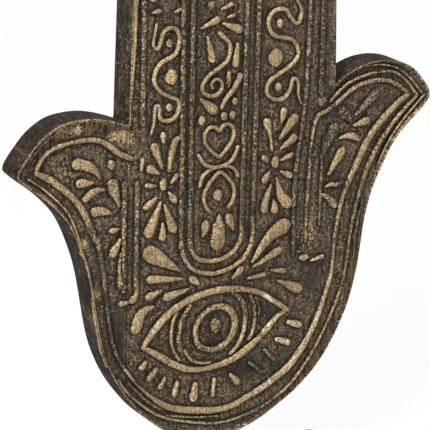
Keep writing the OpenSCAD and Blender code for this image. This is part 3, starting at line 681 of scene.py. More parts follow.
@dataclass(frozen=True)
class Wear:
    """Where years of handling have changed the gold and the stain, and where highlights are painted on the
    gold.
    """

    rubbed_off: tuple = patches(
        (-88, 190, 5, 10, 0.7), (-83, 172, 4.5, 12, 0.85), (-80, 150, 4.5, 14, 0.9),
        (-77, 128, 4.5, 13, 0.9), (-72, 112, 5, 9, 0.8), (-62, 97, 7, 7, 0.5), (-100, 208, 9, 10, 0.5),
        (-112, 220, 9, 7, 0.5), (-92, 243, 30, 5, 0.4), (88, 248, 40, 5, 0.3), (65, 124, 5, 12, 0.3),
        (70, 150, 5, 18, 0.5), (76, 180, 8, 18, 0.5), (96, 212, 13, 12, 0.36), (82, 150, 4, 26, 0.3),
        (10, 88, 18, 9, 0.4), (-16, 104, 12, 5, 0.3), (62, 178, 4, 4, 0.3), (-16, 262, 8, 10, 0.2),
        (-10, 175, 5, 9, 0.25), (63.5, 280, 3, 60, 0.85), (-44, 225, 5, 7, 0.4), (4, 137, 16, 4, 0.35),
        (20.5, 104.5, 2.4, 2.4, 0.75), (34, 115, 3, 3, 0.3), (-30.4, 171, 6, 9, 0.6), (9.4, 171, 6, 9, 0.6),
        (79, 122, 5, 25, 0.5), (60, 88, 12, 12, 0.3), (40, 57, 32, 6, 0.85), (82, 108, 6, 18, 0.9),
        (88, 145, 4, 22, 0.85), (104, 234, 16, 14, 0.35), (60, 175, 5, 6, 0.4), (88, 186, 5, 18, 0.3),
        (-44, 103, 14, 8, 0.3),
    )
    stained: tuple = patches(
        (8, 87, 20, 7, 0.95), (32, 82, 12, 7, 0.6), (-73, 122, 6, 30, 0.75), (-62, 98, 8, 8, 0.5),
        (52, 140, 9, 14, 0.5), (-52, 238, 12, 10, 0.55), (-70, 165, 7, 22, 0.35), (66, 192, 8, 24, 0.4),
        (-10, 104, 12, 7, 0.6), (-10, 111, 9, 5, 0.5), (-10, 126, 9, 4, 0.5), (24, 117, 8, 8, 0.85),
        (-24, 112, 5, 14, 0.4), (5, 112, 4, 14, 0.4), (60, 232, 10, 9, 0.5), (94, 228, 16, 5, 0.45),
        (-7, 256, 7, 16, 0.35), (17, 262, 3, 60, 0.4), (-24, 300, 3, 60, 0.4), (58, 128, 8, 16, 0.4),
        (-60, 80, 9, 7, 0.6), (-86, 165, 2.4, 22, 0.6), (83.6, 150, 3, 30, 0.6),
    )
    blotted: tuple = patches(
        (-86.4, 152.6, 2.3, 2.7, 1.5), (-93.4, 183, 2.2, 2.7, 1.5), (-91, 172, 2.2, 8, 0.4),
        (-87.6, 156, 1.8, 11, 0.4), (-84.6, 138, 1.6, 9, 0.3), (-66.6, 235.4, 4, 4, 1.2),
        (57, 235.5, 2.6, 3.2, 1.1), (-106, 245, 3.4, 3.4, 1.1), (-96.5, 245, 4, 3, 1.1),
        (-74, 238.2, 6, 2.6, 1.1), (-121, 234.5, 4, 3, 0.4), (-56, 225, 3, 10, 0.35),
        (-44, 210, 12, 20, 0.18), (26, 210, 10, 22, 0.15), (-40, 120, 8, 7, 0.25), (60, 250, 2, 14, 0.3),
        (-58, 262, 3, 30, 0.3), (-113, 215, 6, 6, 0.3), (116, 214, 8, 8, 0.3), (52, 160, 10, 20, 0.55),
        (75, 140, 4, 30, 0.3), (76, 118, 4, 14, 0.3),
    )
    # painted highlights: patches where the gold is painted pale and bright, standing for light caught on the
    # beads' lit edges
    painted_highlights: tuple = patches(
        (46, 86, 12, 12, 0.5), (58, 104, 7, 12, 0.45), (26, 106, 9, 8, 0.5), (-11, 80, 5, 6, 0.4),
        (27.6, 110.4, 3, 3, 0.6), (36, 97, 8, 5, 0.4), (44, 106, 8, 4, 0.4), (22, 72, 10, 4, 0.3),
        (-112, 214, 8, 8, 0.5), (-47, 127, 9, 7, 0.3), (9, 110, 3, 8, 0.4), (-24, 80, 5, 6, 0.35),
        (-35, 86, 4, 5, 0.3), (7, 167, 4, 8, 0.3), (66, 186, 6, 3, 0.35), (58, 143, 8, 3, 0.35),
    )
    chipped: tuple = patches(
        (22.6, 127.3, 2.7, 2.4, 1.0), (25.2, 124, 2.4, 2.7, 1.0), (27.2, 71.6, 1, 7, 0.8),
    )
    clouds: tuple = (Ripple(0.06, 0.03, 5.2, 0.3), Ripple(0.33, 0.035, 2.8, 0.34))

    def gold_and_highlight(self, x: float, z: float) -> float:
        """How much of the gold is left at a drawn point; above 1 a highlight is painted on it."""
        left = math.prod(1.0 - patch.at(x, z) for patch in self.rubbed_off)
        return left * (1.0 + summed(self.painted_highlights, x, z))

    def stain(self, x: float, z: float) -> float:
        """How dark the ground is stained at a drawn point, from 0 to 1."""
        return min(1.0, max(0.0, summed(self.stained, x, z) + summed(self.clouds, x, z)))

    def blot(self, x: float, z: float) -> float:
        """How much stray gold lies on the ground at a drawn point."""
        return min(1.0, summed(self.blotted, x, z))

    def chip(self, x: float, z: float) -> float:
        """How far the finish is chipped away at a drawn point."""
        return min(1.0, summed(self.chipped, x, z))


class NodeBuilder:
    """Short ways to add nodes to a tree: a material's, a group's or a modifier's."""

    MIX_A, MIX_B, MIX_RESULT = 6, 7, 2

    def __init__(self, tree: bpy.types.NodeTree) -> None:
        """Keeps the tree."""
        self.tree = tree

    def add(self, kind: str, inputs: dict | None = None, **settings: object) -> bpy.types.Node:
        """Adds a node, sets its properties and feeds its inputs.

        Args:
            kind: the node's type.
            inputs: a socket or a plain value for each input, by its name or place.
            settings: the node's own properties, by their names.

        Returns:
            The node.
        """
        node = self.tree.nodes.new(kind)
        for name, value in settings.items():
            setattr(node, name, value)
        for name, value in (inputs or {}).items():
            self.feed(node.inputs[name], value)
        return node

    def feed(self, target: Socket, value: Feed) -> None:
        """Links a socket to a target, or sets the target to a plain value.

        Args:
            target: the input that is fed.
            value: a socket or a plain value.
        """
        if isinstance(value, Socket):
            self.tree.links.new(value, target)
        else:
            target.default_value = value

    def math(self, operation: str, a: Feed, b: Feed) -> Socket:
        """The result of a math node on two sockets or numbers."""
        return self.add("ShaderNodeMath", {0: a, 1: b}, operation=operation).outputs[0]

    def mix(self, factor: Feed, a: Feed, b: Feed) -> Socket:
        """Mixes two colours by a factor."""
        inputs = {"Factor": factor, self.MIX_A: a, self.MIX_B: b}
        return self.add("ShaderNodeMix", inputs, data_type="RGBA").outputs[self.MIX_RESULT]

    def between(self, value: Feed, low: float, high: float, least: float = 0.0, most: float = 1.0) -> Socket:
        """Remaps a value smoothly between two limits.

        Args:
            value: the value's socket.
            low: where the result is at its least; it may lie above high.
            high: where the result is at its most.
            least: the result at low and past it.
            most: the result at high and past it.

        Returns:
            The result's socket.
        """
        inputs = {"Value": value, "From Min": low, "From Max": high, "To Min": least, "To Max": most}
        return self.add("ShaderNodeMapRange", inputs, interpolation_type="SMOOTHSTEP").outputs["Result"]

    def stretched(self, coordinates: Feed, scale: tuple) -> Socket:
        """Coordinates scaled by a mapping."""
        return self.add("ShaderNodeMapping", {"Vector": coordinates, "Scale": scale}).outputs["Vector"]

    def noise(self, coordinates: Feed, scale: Feed, detail: float, roughness: float) -> Socket:
        """A noise texture's value."""
        inputs = {"Vector": coordinates, "Scale": scale, "Detail": detail, "Roughness": roughness}
        return self.add("ShaderNodeTexNoise", inputs).outputs["Fac"]

    def emboss(self, shader: bpy.types.Node, height: Feed, strength: float, distance: float) -> None:
        """Bumps a shader's surface by a height."""
        bump = self.add("ShaderNodeBump", {"Strength": strength, "Distance": distance, "Height": height})
        self.feed(shader.inputs["Normal"], bump.outputs["Normal"])


class StrokeTree:
    """The node tree that sweeps every stroke of a board along its path."""

    NAME = "carved strokes"
    FACETS_ACROSS = 12
    ROOT = 0.0006

    def __init__(self) -> None:
        """Builds the tree once."""
        self.tree = bpy.data.node_groups.new(self.NAME, "GeometryNodeTree")
        self.builder = NodeBuilder(self.tree)
        self.sockets: dict[str, str] = {}
        self._interface()
        self._nodes()

    def _interface(self) -> None:
        """Names the tree's inputs and its output."""
        io = self.tree.interface
        io.new_socket("Paths", in_out="INPUT", socket_type="NodeSocketGeometry")
        for name, kind in (
            ("Facets Across", "NodeSocketInt"), ("Root", "NodeSocketFloat"),
            ("Ground", "NodeSocketFloat"), ("Material", "NodeSocketMaterial"),
        ):
            self.sockets[name] = io.new_socket(name, in_out="INPUT", socket_type=kind).identifier
        io.new_socket("Carving", in_out="OUTPUT", socket_type="NodeSocketGeometry")

    def _stored(self, name: str) -> Socket:
        """Reads a number stored on the path's points."""
        node = self.builder.add("GeometryNodeInputNamedAttribute", {"Name": name}, data_type="FLOAT")
        return node.outputs["Attribute"]

    def _step(self, kind: str, inputs: dict, **settings: object) -> Socket:
        """Adds a node and returns its first output."""
        return self.builder.add(kind, inputs, **settings).outputs[0]

    def _nodes(self) -> None:
        """Sweeps, flattens, stands up and dresses the strokes."""
        b, step = self.builder, self._step
        given = b.add("NodeGroupInput").outputs
        half_width = self._stored("half_width")
        line = step("GeometryNodeMeshToCurve", {"Mesh": given["Paths"]})
        line = step("GeometryNodeSetCurveNormal", {"Curve": line}, mode="Z_UP")
        around = {"Radius": 1.0, "Resolution": given["Facets Across"]}
        profile = step("GeometryNodeCurvePrimitiveCircle", around, mode="RADIUS")
        swept = step("GeometryNodeCurveToMesh", {
            "Curve": line, "Profile Curve": profile, "Scale": half_width, "Fill Caps": True,
        })
        place = b.add("ShaderNodeSeparateXYZ", {0: step("GeometryNodeInputPosition", {})}).outputs
        crest = b.math("DIVIDE", place["Z"], half_width)
        crest = b.math("MINIMUM", b.math("MAXIMUM", crest, -1.0), 1.0)
        upper = b.math("POWER", b.math("MAXIMUM", crest, 0.0), self._stored("bluntness"))
        lower = b.math("MINIMUM", crest, 0.0)
        height = b.math(
            "ADD", b.math("MULTIPLY", upper, self._stored("rise")), b.math("MULTIPLY", lower, given["Root"]),
        )
        flattened = step("ShaderNodeCombineXYZ", {"X": place["X"], "Y": place["Y"], "Z": height})
        swept = step(
            "GeometryNodeStoreNamedAttribute", {"Geometry": swept, "Name": "crest", "Value": crest},
            data_type="FLOAT", domain="POINT",
        )
        swept = step("GeometryNodeSetPosition", {"Geometry": swept, "Position": flattened})
        swept = step("GeometryNodeTransform", {
            "Geometry": swept, "Rotation": (math.pi / 2, 0.0, 0.0),
            "Translation": step("ShaderNodeCombineXYZ", {"Y": given["Ground"]}),
        })
        swept = step("GeometryNodeRealizeInstances", {0: swept})
        swept = step("GeometryNodeSetMaterial", {"Geometry": swept, "Material": given["Material"]})
        b.add("NodeGroupOutput", {0: swept})

    def sweep(self, paths: bpy.types.Object, ground: float, material: bpy.types.Material) -> bpy.types.Mesh:
        """Runs the tree on a mesh of paths.

        Args:
            paths: the object whose edges are the strokes' middle lines.
            ground: the depth of the carving's ground in metres.
            material: the finish of the strokes.

        Returns:
            The swept strokes as a plain mesh.
        """
        modifier = paths.modifiers.new("sweep", "NODES")
        modifier.node_group = self.tree
        for name, value in (
            ("Facets Across", self.FACETS_ACROSS), ("Root", self.ROOT),
            ("Ground", ground), ("Material", material),
        ):
            modifier[self.sockets[name]] = value
        paths.update_tag()
        graph = bpy.context.evaluated_depsgraph_get()
        graph.update()
        evaluated = paths.evaluated_get(graph)
        mesh = bpy.data.meshes.new_from_object(evaluated, preserve_all_data_layers=True, depsgraph=graph)
        paths.modifiers.remove(modifier)
        return mesh


def ease(value: float, low: float, high: float) -> float:
    """Rises smoothly from 0 to 1 as a value goes from low to high."""
    t = min(1.0, max(0.0, (value - low) / (high - low)))
    return t * t * (3 - 2 * t)


def fading(distance: float, reach: float) -> float:
    """Falls smoothly from 1 towards 0 with distance."""
    return math.exp(-((distance / reach) ** 2))


def search_tree(points: list) -> KDTree:
    """Puts drawn points into a tree that finds the nearest one.

    Args:
        points: the points, as x and z.

    Returns:
        The tree, ready to search.
    """
    tree = KDTree(len(points))
    for i, (x, z) in enumerate(points):
        tree.insert((x, z, 0.0), i)
    tree.balance()
    return tree


def gap(tree: KDTree, x: float, z: float) -> float:
    """The distance from a drawn point to the nearest point of a tree."""
    return tree.find((x, z, 0.0))[2]


@dataclass
class Ground:
    """The face of the slab behind the strokes: its depth, and its closeness to them, which sets the shade
    painted beside them.
    """

    drawing: Drawing
    edges: KDTree
    strokes: KDTree
    wear: Wear = field(default_factory=Wear)
    arris_depth: float = 0.3
    edge_step: float = 0.1
    lip: tuple = (0.5, 2.1)
    groove_depth: float = 0.7
    groove_place: float = 3.0
    groove_reach: float = 1.2
    trench_depth: float = 0.35
    trench_reach: float = 1.3
    crease_reach: float = 1.5
    bevel_width: float = 9.0
    shoulder_width: float = 7.5
    shoulder_drop: float = 0.8
    shoulder_dulling: float = 0.75
    waves: tuple = (
        Ripple(0.11, 0.045, 3.1, 0.28), Ripple(0.42, 0.07, 7.7, 0.26), Ripple(0.5, 0.4, 4.4, 0.12),
    )

    def bevel(self, x: float, z: float) -> float:
        """How far a point lies on the left thumb's top, where the face slopes to its bead."""
        return ease(-x, 64.0, 72.0) * ease(z, 225.0, 233.0)

    def shoulder(self, x: float, z: float) -> float:
        """How far a point lies on the palm's right side, where the face slopes off to the edge."""
        return ease(x, 12.0, 36.0) * (1.0 - ease(z, 165.0, 195.0))

    def brightness(self, x: float, z: float) -> float:
        """How much of its gold the edge keeps, which is less on the palm's right side."""
        return 1 - self.shoulder_dulling * self.shoulder(x, z)

    def rim_depth(self, x: float, z: float) -> float:
        """Depth of the edge behind the foremost plane in millimetres."""
        return self.arris_depth + self.shoulder_drop * self.shoulder(x, z)

    def depth(self, x: float, z: float) -> tuple[float, float, float]:
        """Depth and wear of the face at a drawn point.

        Args:
            x: distance to the right on the drawing.
            z: height on the drawing.

        Returns:
            Depth behind the foremost plane in millimetres, closeness to a
            stroke from 0 to 1, and closeness to the hand's edge from 0 to 1.
        """
        rim, near = gap(self.edges, x, z), gap(self.strokes, x, z)
        trench = self.trench_depth * fading(near, self.trench_reach)
        groove = self.groove_depth * fading(rim - self.groove_place, self.groove_reach)
        lip = 1.0 - ease(rim, *self.lip)
        ground = self.drawing.carving_depth + summed(self.waves, x, z) + trench
        shoulder, bevel = self.shoulder(x, z), self.bevel(x, z)
        edge = self.arris_depth + self.edge_step
        plain = (ground + groove) * (1 - lip) + edge * lip
        sloped = edge + (ground - edge) * ease(rim, -self.bevel_width / 2, self.bevel_width)
        falling = ground + (self.rim_depth(x, z) - ground) * (1 - ease(rim, 0.0, self.shoulder_width))
        depth = plain * (1 - bevel) * (1 - shoulder) + sloped * bevel + falling * shoulder
        # the closeness to a stroke sets the shade painted beside it
        return depth, fading(near, self.crease_reach), lip * self.brightness(x, z)

    def bared(self, x: float, z: float) -> float:
        """How far the sloping edges show the dark grain of the sides.

        Args:
            x: distance to the right on the drawing.
            z: height on the drawing.

        Returns:
            A share from 0 to 1.
        """
        rim = gap(self.edges, x, z)
        on_bevel = self.bevel(x, z) * ease(rim, 0.8, 2.4) * (1 - ease(rim, 7.0, 10.0))
        on_shoulder = self.shoulder(x, z) * ease(rim, 0.4, 1.6) * (1 - ease(rim, 5.5, 8.0))
        return 0.75 * on_bevel + 0.6 * on_shoulder


@dataclass
class CarvedBoard:
    """One glued board of the hand: its slab, its ground and its strokes."""

    name: str
    node: str
    x0: float
    x1: float
    drawing: Drawing
    outline: Outline
    grid: float = 1.25
    row_step: float = 0.866
    rim_clearance: float = 0.7
    inset: float = 0.35
    fillet: float = 0.5
    chamfer: float = 0.5
    roll: float = 0.28
    roll_drop: float = 0.15
    shaded_drop: float = 0.9
    seam_margin: float = 0.03
    thinnest: float = 0.02
    thin_rise: float = 0.35
    full_rise_at: float = 1.1
    crest_margin: float = 0.02
    wobble: Ripple = Ripple(0.35, 0.35, 1.7, 0.13)
    drift: Ripple = Ripple(0.2, 0.2, 9.3, 0.12)
    edge_gold: float = 0.62
    blot_gold: float = 0.8
    painted_crease_shade: float = 0.95
    gold_reach: float = 1.7
    gold_falloff: float = 0.8
    painted_foot_shade: float = 3.0
    stroke_stain: float = 0.5

    def boundary(self) -> tuple[list, list]:
        """Runs the board's outline counter-clockwise.

        Returns:
            The outline's points, and for each whether it lies on a seam.
        """
        loop, seam = self.outline.board_loop(self.x0, self.x1)
        area = sum(p[0] * q[1] - q[0] * p[1] for p, q in zip(loop, loop[1:] + loop[:1]))
        if area < 0:
            loop.reverse()
            seam.reverse()
        return loop, seam

    def drawn_in(self, loop: list, seam: list, by: float) -> list:
        """Draws the outline in, except along the seams.

        Args:
            loop: the outline's points.
            seam: for each, whether it lies on a seam.
            by: how far to draw in.

        Returns:
            The drawn-in points, in the same order.
        """
        out = []
        heights = [z for _, z in loop]
        middle = (min(heights) + max(heights)) / 2
        for i, (x, z) in enumerate(loop):
            after = (i + 1) % len(loop)
            tx, tz = loop[after][0] - loop[i - 1][0], loop[after][1] - loop[i - 1][1]
            length = math.hypot(tx, tz) or 1.0
            if seam[i]:
                at_end = not (seam[i - 1] and seam[after])
                out.append((x, z + math.copysign(by, middle - z) if at_end else z))
            else:
                inward = x - tz / length * by
                inward = min(max(inward, self.x0 + self.seam_margin), self.x1 - self.seam_margin)
                out.append((inward, z + tx / length * by))
        return out

    def lattice(self, inner: list) -> list:
        """Spreads points evenly over the face, clear of its rim.

        Args:
            inner: the face's outline.

        Returns:
            The points, as x and z.
        """
        tree = search_tree(inner)
        polygon = np.array(inner)
        xs, zs = [p[0] for p in inner], [p[1] for p in inner]
        points = []
        row, z = 0, min(zs)
        while z < max(zs):
            x = min(xs) + (0.5 * self.grid if row % 2 else 0.0)
            line = []
            while x < max(xs):
                line.append(x)
                x += self.grid
            for x in self.inside(polygon, line, z):
                if gap(tree, x, z) > self.rim_clearance * self.grid:
                    points.append((x, z))
            z += self.grid * self.row_step
            row += 1
        return points

    @staticmethod
    def inside(polygon: np.ndarray, line: list, z: float) -> list:
        """Keeps the points of a level line that lie inside a polygon.

        Args:
            polygon: the polygon's points.
            line: the x of the points.
            z: their height.

        Returns:
            The x of the points inside.
        """
        a, b = polygon, np.roll(polygon, -1, axis=0)
        crosses = (a[:, 1] > z) != (b[:, 1] > z)
        a, b = a[crosses], b[crosses]
        cut = a[:, 0] + (z - a[:, 1]) / (b[:, 1] - a[:, 1]) * (b[:, 0] - a[:, 0])
        x = np.array(line)
        return [float(v) for v in x[(np.sum(cut[None, :] > x[:, None], axis=1) % 2) == 1]]

    @staticmethod
    def net(points: list, count: int) -> tuple[list, list, list]:
        """Joins points with triangles inside their outline.

        Args:
            points: the points, those of the outline first.
            count: how many belong to the outline.

        Returns:
            The net's points, its triangles, and for each point the places
            of the given points that it stands for.
        """
        outline = [(i, (i + 1) % count) for i in range(count)]
        net = delaunay_2d_cdt([Vector(p) for p in points], outline, [], 1, 1e-6)
        return net[0], net[2], net[3]

    def face(self, bm: bmesh.types.BMesh, inner: list, seam: list, rim_depths: list, ground: Ground) -> list:
        """Adds the carved face inside the rolled edge.

        Args:
            bm: the slab's mesh.
            inner: the face's outline.
            seam: for each of its points, whether it lies on a seam.
            rim_depths: for each, the depth of the edge.
            ground: the face's depth at each point.

        Returns:
            The outline's points in the mesh, in the same order.
        """
        count = len(inner)
        layers = bm.verts.layers.float
        flat, triangles, origins = self.net(inner + self.lattice(inner), count)
        made, rim_points = [], {}
        for (x, z), source in zip(flat, origins):
            i = source[0] if source else count
            if i < count and not seam[i]:
                depth, near, rim = rim_depths[i], 0.0, 1.0
            else:
                depth, near, rim = ground.depth(x, z)
            point = bm.verts.new(self.drawing.place(x, z, depth))
            for name, value in (("rim", rim), ("near", near), ("wall", ground.bared(x, z))):
                point[layers[name]] = value
            made.append(point)
            rim_points.update((i, point) for i in source if i < count)
        for corners in triangles:
            bm.faces.new([made[i] for i in corners])
        return [rim_points[i] for i in range(count)]

    def close_back(self, bm: bmesh.types.BMesh, back_loop: list, ring: list) -> None:
        """Closes the slab's back.

        Args:
            bm: the slab's mesh.
            back_loop: the back's outline.
            ring: the outline's points in the mesh.
        """
        _, triangles, origins = self.net(back_loop, len(back_loop))
        points = {index: ring[source[-1]] for index, source in enumerate(origins) if source}
        for corners in triangles:
            if all(i in points for i in corners):
                bm.faces.new([points[i] for i in corners])

    def slab(self, ground: Ground) -> bpy.types.Mesh:
        """Builds the slab with its carved ground, rolled edge and back.

        Args:
            ground: the face's depth at each point.

        Returns:
            The slab's mesh.
        """
        loop, seam = self.boundary()
        thickness = self.drawing.thickness
        inner, back_loop = self.drawn_in(loop, seam, self.inset), self.drawn_in(loop, seam, self.chamfer)
        bm = bmesh.new()
        layers = bm.verts.layers.float
        for name in ("rim", "near", "wall"):
            layers.new(name)

        def stepped(depths: list, step: float) -> list:
            """Steps depths back, except on the seams."""
            return [d if cut else d + step for d, cut in zip(depths, seam)]

        def ring(points: list, depths: list, rim: float, wall: float) -> list:
            """Adds a ring of points at their depths and marks them, except on a seam's front half.

            Args:
                points: the ring's points on the drawing.
                depths: their depths.
                rim: how close the ring is to the face's edge.
                wall: how far it is on the sides or the back.

            Returns:
                The ring's points in the mesh.
            """
            made = [bm.verts.new(self.drawing.place(x, z, d)) for (x, z), d in zip(points, depths)]
            for point, (x, z), d, cut in zip(made, points, depths, seam):
                if not cut or d >= thickness / 2:
                    point[layers["rim"]] = rim * ground.brightness(x, z)
                    point[layers["wall"]] = wall
            return made

        rolled = [
            tuple((1 - self.roll) * a + self.roll * b for a, b in zip(outer, drawn))
            for outer, drawn in zip(loop, inner)
        ]
        edge = [ground.depth(*p)[0] if cut else ground.rim_depth(*p) for p, cut in zip(loop, seam)]
        side = stepped(edge, self.fillet)
        back = [thickness] * len(loop)
        rings = [
            self.face(bm, inner, seam, edge, ground),
            ring(rolled, stepped(edge, self.roll_drop), 1.0, 0.0),
            ring(loop, side, 0.35, 0.6),
            ring(loop, stepped(side, self.shaded_drop), 0.0, 1.0),
            ring(loop, stepped(back, -self.chamfer), 0.0, 1.0),
            ring(back_loop, back, 0.0, 1.0),
        ]
        for first, second in zip(rings, rings[1:]):
            for i in range(len(loop)):
                after = (i + 1) % len(loop)
                bm.faces.new((first[i], first[after], second[after], second[i]))
        self.close_back(bm, back_loop, rings[-1])
        bmesh.ops.remove_doubles(bm, verts=bm.verts, dist=1e-6)
        bmesh.ops.dissolve_degenerate(bm, dist=1e-7, edges=bm.edges)
        bmesh.ops.recalc_face_normals(bm, faces=bm.faces)
        mesh = bpy.data.meshes.new(self.name)
        bm.to_mesh(mesh)
        bm.free()
        return mesh

    def paths(self, strokes: list, ground: Ground) -> bpy.types.Object:
        """Draws the middle lines of the board's strokes.

        Args:
            strokes: every stroke of the hand.
            ground: the face, which knows where the gold is worn.

        Returns:
            An object whose edges are the lines, laid flat.
        """
        verts, edges, widths, rises, blunts, gilds_and_highlights = [], [], [], [], [], []
        for s in strokes:
            line = s.rounded()
            low = min(x - r for x, _, r in line)
            high = max(x + r for x, _, r in line)
            if high < self.x0 or low > self.x1:
                continue
            first = len(verts)
            for n, (x, z, r) in enumerate(line):
                half_width = r * (1 + self.wobble.at(x, z))
                p = self.drawing.place(x + self.drift.at(x, z), z, 0.0)
                verts.append((p.x, p.z, 0.0))
                widths.append(max(self.thinnest, half_width * self.drawing.scale) / 1000)
                rises.append(self.rise(s, half_width) / 1000)
                blunts.append(s.cut.value)
                # the gold left, pushed above 1 where a highlight is painted
                gilds_and_highlights.append(s.gilding * ground.wear.gold_and_highlight(x, z))
                if n:
                    edges.append((first + n - 1, first + n))
        mesh = bpy.data.meshes.new(self.name + "_paths")
        mesh.from_pydata(verts, edges, [])
        for name, values in (("half_width", widths), ("rise", rises), ("bluntness", blunts), ("gild_and_highlight", gilds_and_highlights)):
            self.store(mesh, name, np.array(values))
        piece = bpy.data.objects.new(self.name + "_paths", mesh)
        bpy.context.scene.collection.objects.link(piece)
        return piece

    def rise(self, stroke: Stroke, half_width: float) -> float:
        """How far a stroke stands up where it has this half width."""
        share = min(1.0, self.thin_rise + (1 - self.thin_rise) * half_width / self.full_rise_at)
        return min(self.drawing.carving_depth - self.crest_margin, stroke.rise * share)

    def cut_at_seams(self, bm: bmesh.types.BMesh) -> None:
        """Cuts swept strokes off at the board's seams and closes the cuts.

        Args:
            bm: the strokes' mesh.
        """
        for x, side in ((self.x0, -1.0), (self.x1, 1.0)):
            if abs(x) == self.drawing.past_thumbs:
                continue
            plane = self.drawing.place(x, 0.0, 0.0)
            geometry = bm.verts[:] + bm.edges[:] + bm.faces[:]
            cut = bmesh.ops.bisect_plane(
                bm, geom=geometry, plane_co=plane, plane_no=(side, 0.0, 0.0), clear_outer=True, dist=1e-7,
            )
            rims = [e for e in cut["geom_cut"] if isinstance(e, bmesh.types.BMEdge) and e.is_boundary]
            if rims:
                bmesh.ops.holes_fill(bm, edges=rims, sides=0)

    def raised(self, strokes: list, ground: Ground, sweep: StrokeTree,
               material: bpy.types.Material) -> bpy.types.Mesh:
        """Sweeps the board's strokes and cuts them at its seams.

        Args:
            strokes: every stroke of the hand.
            ground: the face, which knows where the gold is worn.
            sweep: the tree that sweeps strokes.
            material: the finish.

        Returns:
            The strokes' mesh.
        """
        paths = self.paths(strokes, ground)
        lines = paths.data
        raised = sweep.sweep(paths, self.drawing.place(0.0, 0.0, self.drawing.carving_depth).y, material)
        bm = bmesh.new()
        bm.from_mesh(raised)
        self.cut_at_seams(bm)
        bmesh.ops.recalc_face_normals(bm, faces=bm.faces)
        bm.to_mesh(raised)
        bm.free()
        bpy.data.objects.remove(paths)
        bpy.data.meshes.remove(lines)
        return raised

    def build(self, strokes: list, ground: Ground, sweep: StrokeTree, material: bpy.types.Material) -> None:
        """Builds the whole board.

        Args:
            strokes: every stroke of the hand.
            ground: the face's depth at each point.
            sweep: the tree that sweeps strokes.
            material: the finish.
        """
        slab, raised = self.slab(ground), self.raised(strokes, ground, sweep, material)
        slab.materials.append(material)
        self.dress_slab(slab, ground.wear)
        self.dress_strokes(raised, ground.wear)
        piece = bpy.data.objects.new(self.name, slab)
        other = bpy.data.objects.new(self.name + "_strokes", raised)
        both = [piece, other]
        for o in both:
            bpy.context.scene.collection.objects.link(o)
        with bpy.context.temp_override(active_object=piece, object=piece, selected_objects=both,
                                       selected_editable_objects=both):
            bpy.ops.object.join()
        piece.data.shade_smooth()
        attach(piece, "hand")
        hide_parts(self.node)
        log.info("%s: %d points, %d faces", self.name, len(piece.data.vertices), len(piece.data.polygons))

    def dress_slab(self, slab: bpy.types.Mesh, wear: Wear) -> None:
        """Stores where gold sits on the slab, where shade is painted beside the strokes and where its sides
        are.

        Args:
            slab: the slab's mesh, with its "rim", "near" and "wall" numbers.
            wear: where the finish is worn.
        """
        rim, near, wall = (self.taken(slab, name) for name in ("rim", "near", "wall"))
        stain, blot, left = (self.sampled(slab, m) for m in (wear.stain, wear.blot, wear.gold_and_highlight))
        off_walls = wall < 0.9
        gold = rim * self.edge_gold * np.clip(left, 0, 1) + blot * off_walls * self.blot_gold
        # painted shade: the ground is darkened close to every stroke, standing for the shade in the creases
        self.mark(
            slab, gilding=np.clip(gold, 0, 1), recess=np.clip(near * self.painted_crease_shade, 0, 1) * (1 - wall),
            stain=stain * (1 - wall), wall=wall, chip=np.zeros_like(wall),
        )
        self.forget(slab, "rim", "near")

    def dress_strokes(self, raised: bpy.types.Mesh, wear: Wear) -> None:
        """Stores where gold sits on the strokes and where shade is painted towards their feet.

        Args:
            raised: the strokes' mesh, with its "crest" and "gild" numbers.
            wear: where the finish is worn.
        """
        crest, gild_and_highlight = self.taken(raised, "crest"), self.taken(raised, "gild_and_highlight")
        # painted shade: each stroke is darkened towards its foot, where it meets the ground
        self.mark(
            raised, gilding=np.clip(crest * self.gold_reach, 0, 1) ** self.gold_falloff * gild_and_highlight,
            recess=np.clip(1 - crest * self.painted_foot_shade, 0, 1),
            stain=self.sampled(raised, wear.stain) * self.stroke_stain,
            wall=np.zeros_like(crest), chip=self.sampled(raised, wear.chip),
        )
        self.forget(raised, "crest", "gild_and_highlight", "half_width", "rise", "bluntness")

    def mark(self, mesh: bpy.types.Mesh, **masks: np.ndarray) -> None:
        """Stores the masks that the finish reads, by their names."""
        for name, values in masks.items():
            self.store(mesh, name, values)

    def sampled(self, mesh: bpy.types.Mesh, measure: Measure) -> np.ndarray:
        """Takes a measure of the drawing at every point of a mesh."""
        return np.array([measure(*self.drawing.drawn(v.co)) for v in mesh.vertices])

    @staticmethod
    def taken(mesh: bpy.types.Mesh, name: str) -> np.ndarray:
        """Reads one number for each point of a mesh.

        Args:
            mesh: the mesh.
            name: what the number is called.

        Returns:
            The numbers, in the points' order.
        """
        values = np.zeros(len(mesh.vertices), dtype=np.float32)
        mesh.attributes[name].data.foreach_get("value", values)
        return values

    @staticmethod
    def store(mesh: bpy.types.Mesh, name: str, values: np.ndarray) -> None:
        """Stores one number for each point of a mesh."""
        layer = mesh.attributes.get(name) or mesh.attributes.new(name, "FLOAT", "POINT")
        layer.data.foreach_set("value", values.astype(np.float32))

    @staticmethod
    def forget(mesh: bpy.types.Mesh, *names: str) -> None:
        """Removes numbers that only the making needed."""
        for name in names:
            if name in mesh.attributes:
                mesh.attributes.remove(mesh.attributes[name])


def rgb(red: int, green: int, blue: int) -> tuple:
    """A colour as it shows on a screen, turned into the renderer's numbers.

    Args:
        red: from 0 to 255.
        green: from 0 to 255.
        blue: from 0 to 255.

    Returns:
        The four numbers of a colour socket.
    """
    def linear(v: int) -> float:
        """One channel."""
        c = v / 255
        return c / 12.92 if c <= 0.04045 else ((c + 0.055) / 1.055) ** 2.4
    return (linear(red), linear(green), linear(blue), 1.0)


def blank_finish(name: str) -> tuple[bpy.types.Material, NodeBuilder, bpy.types.Node]:
    """Makes an untouched material.

    Args:
        name: the finish's name.

    Returns:
        The material, a builder for its tree, and its shader.
    """
    material = bpy.data.materials.new(name)
    material.use_nodes = True
    b = NodeBuilder(material.node_tree)
    return material, b, b.tree.nodes["Principled BSDF"]


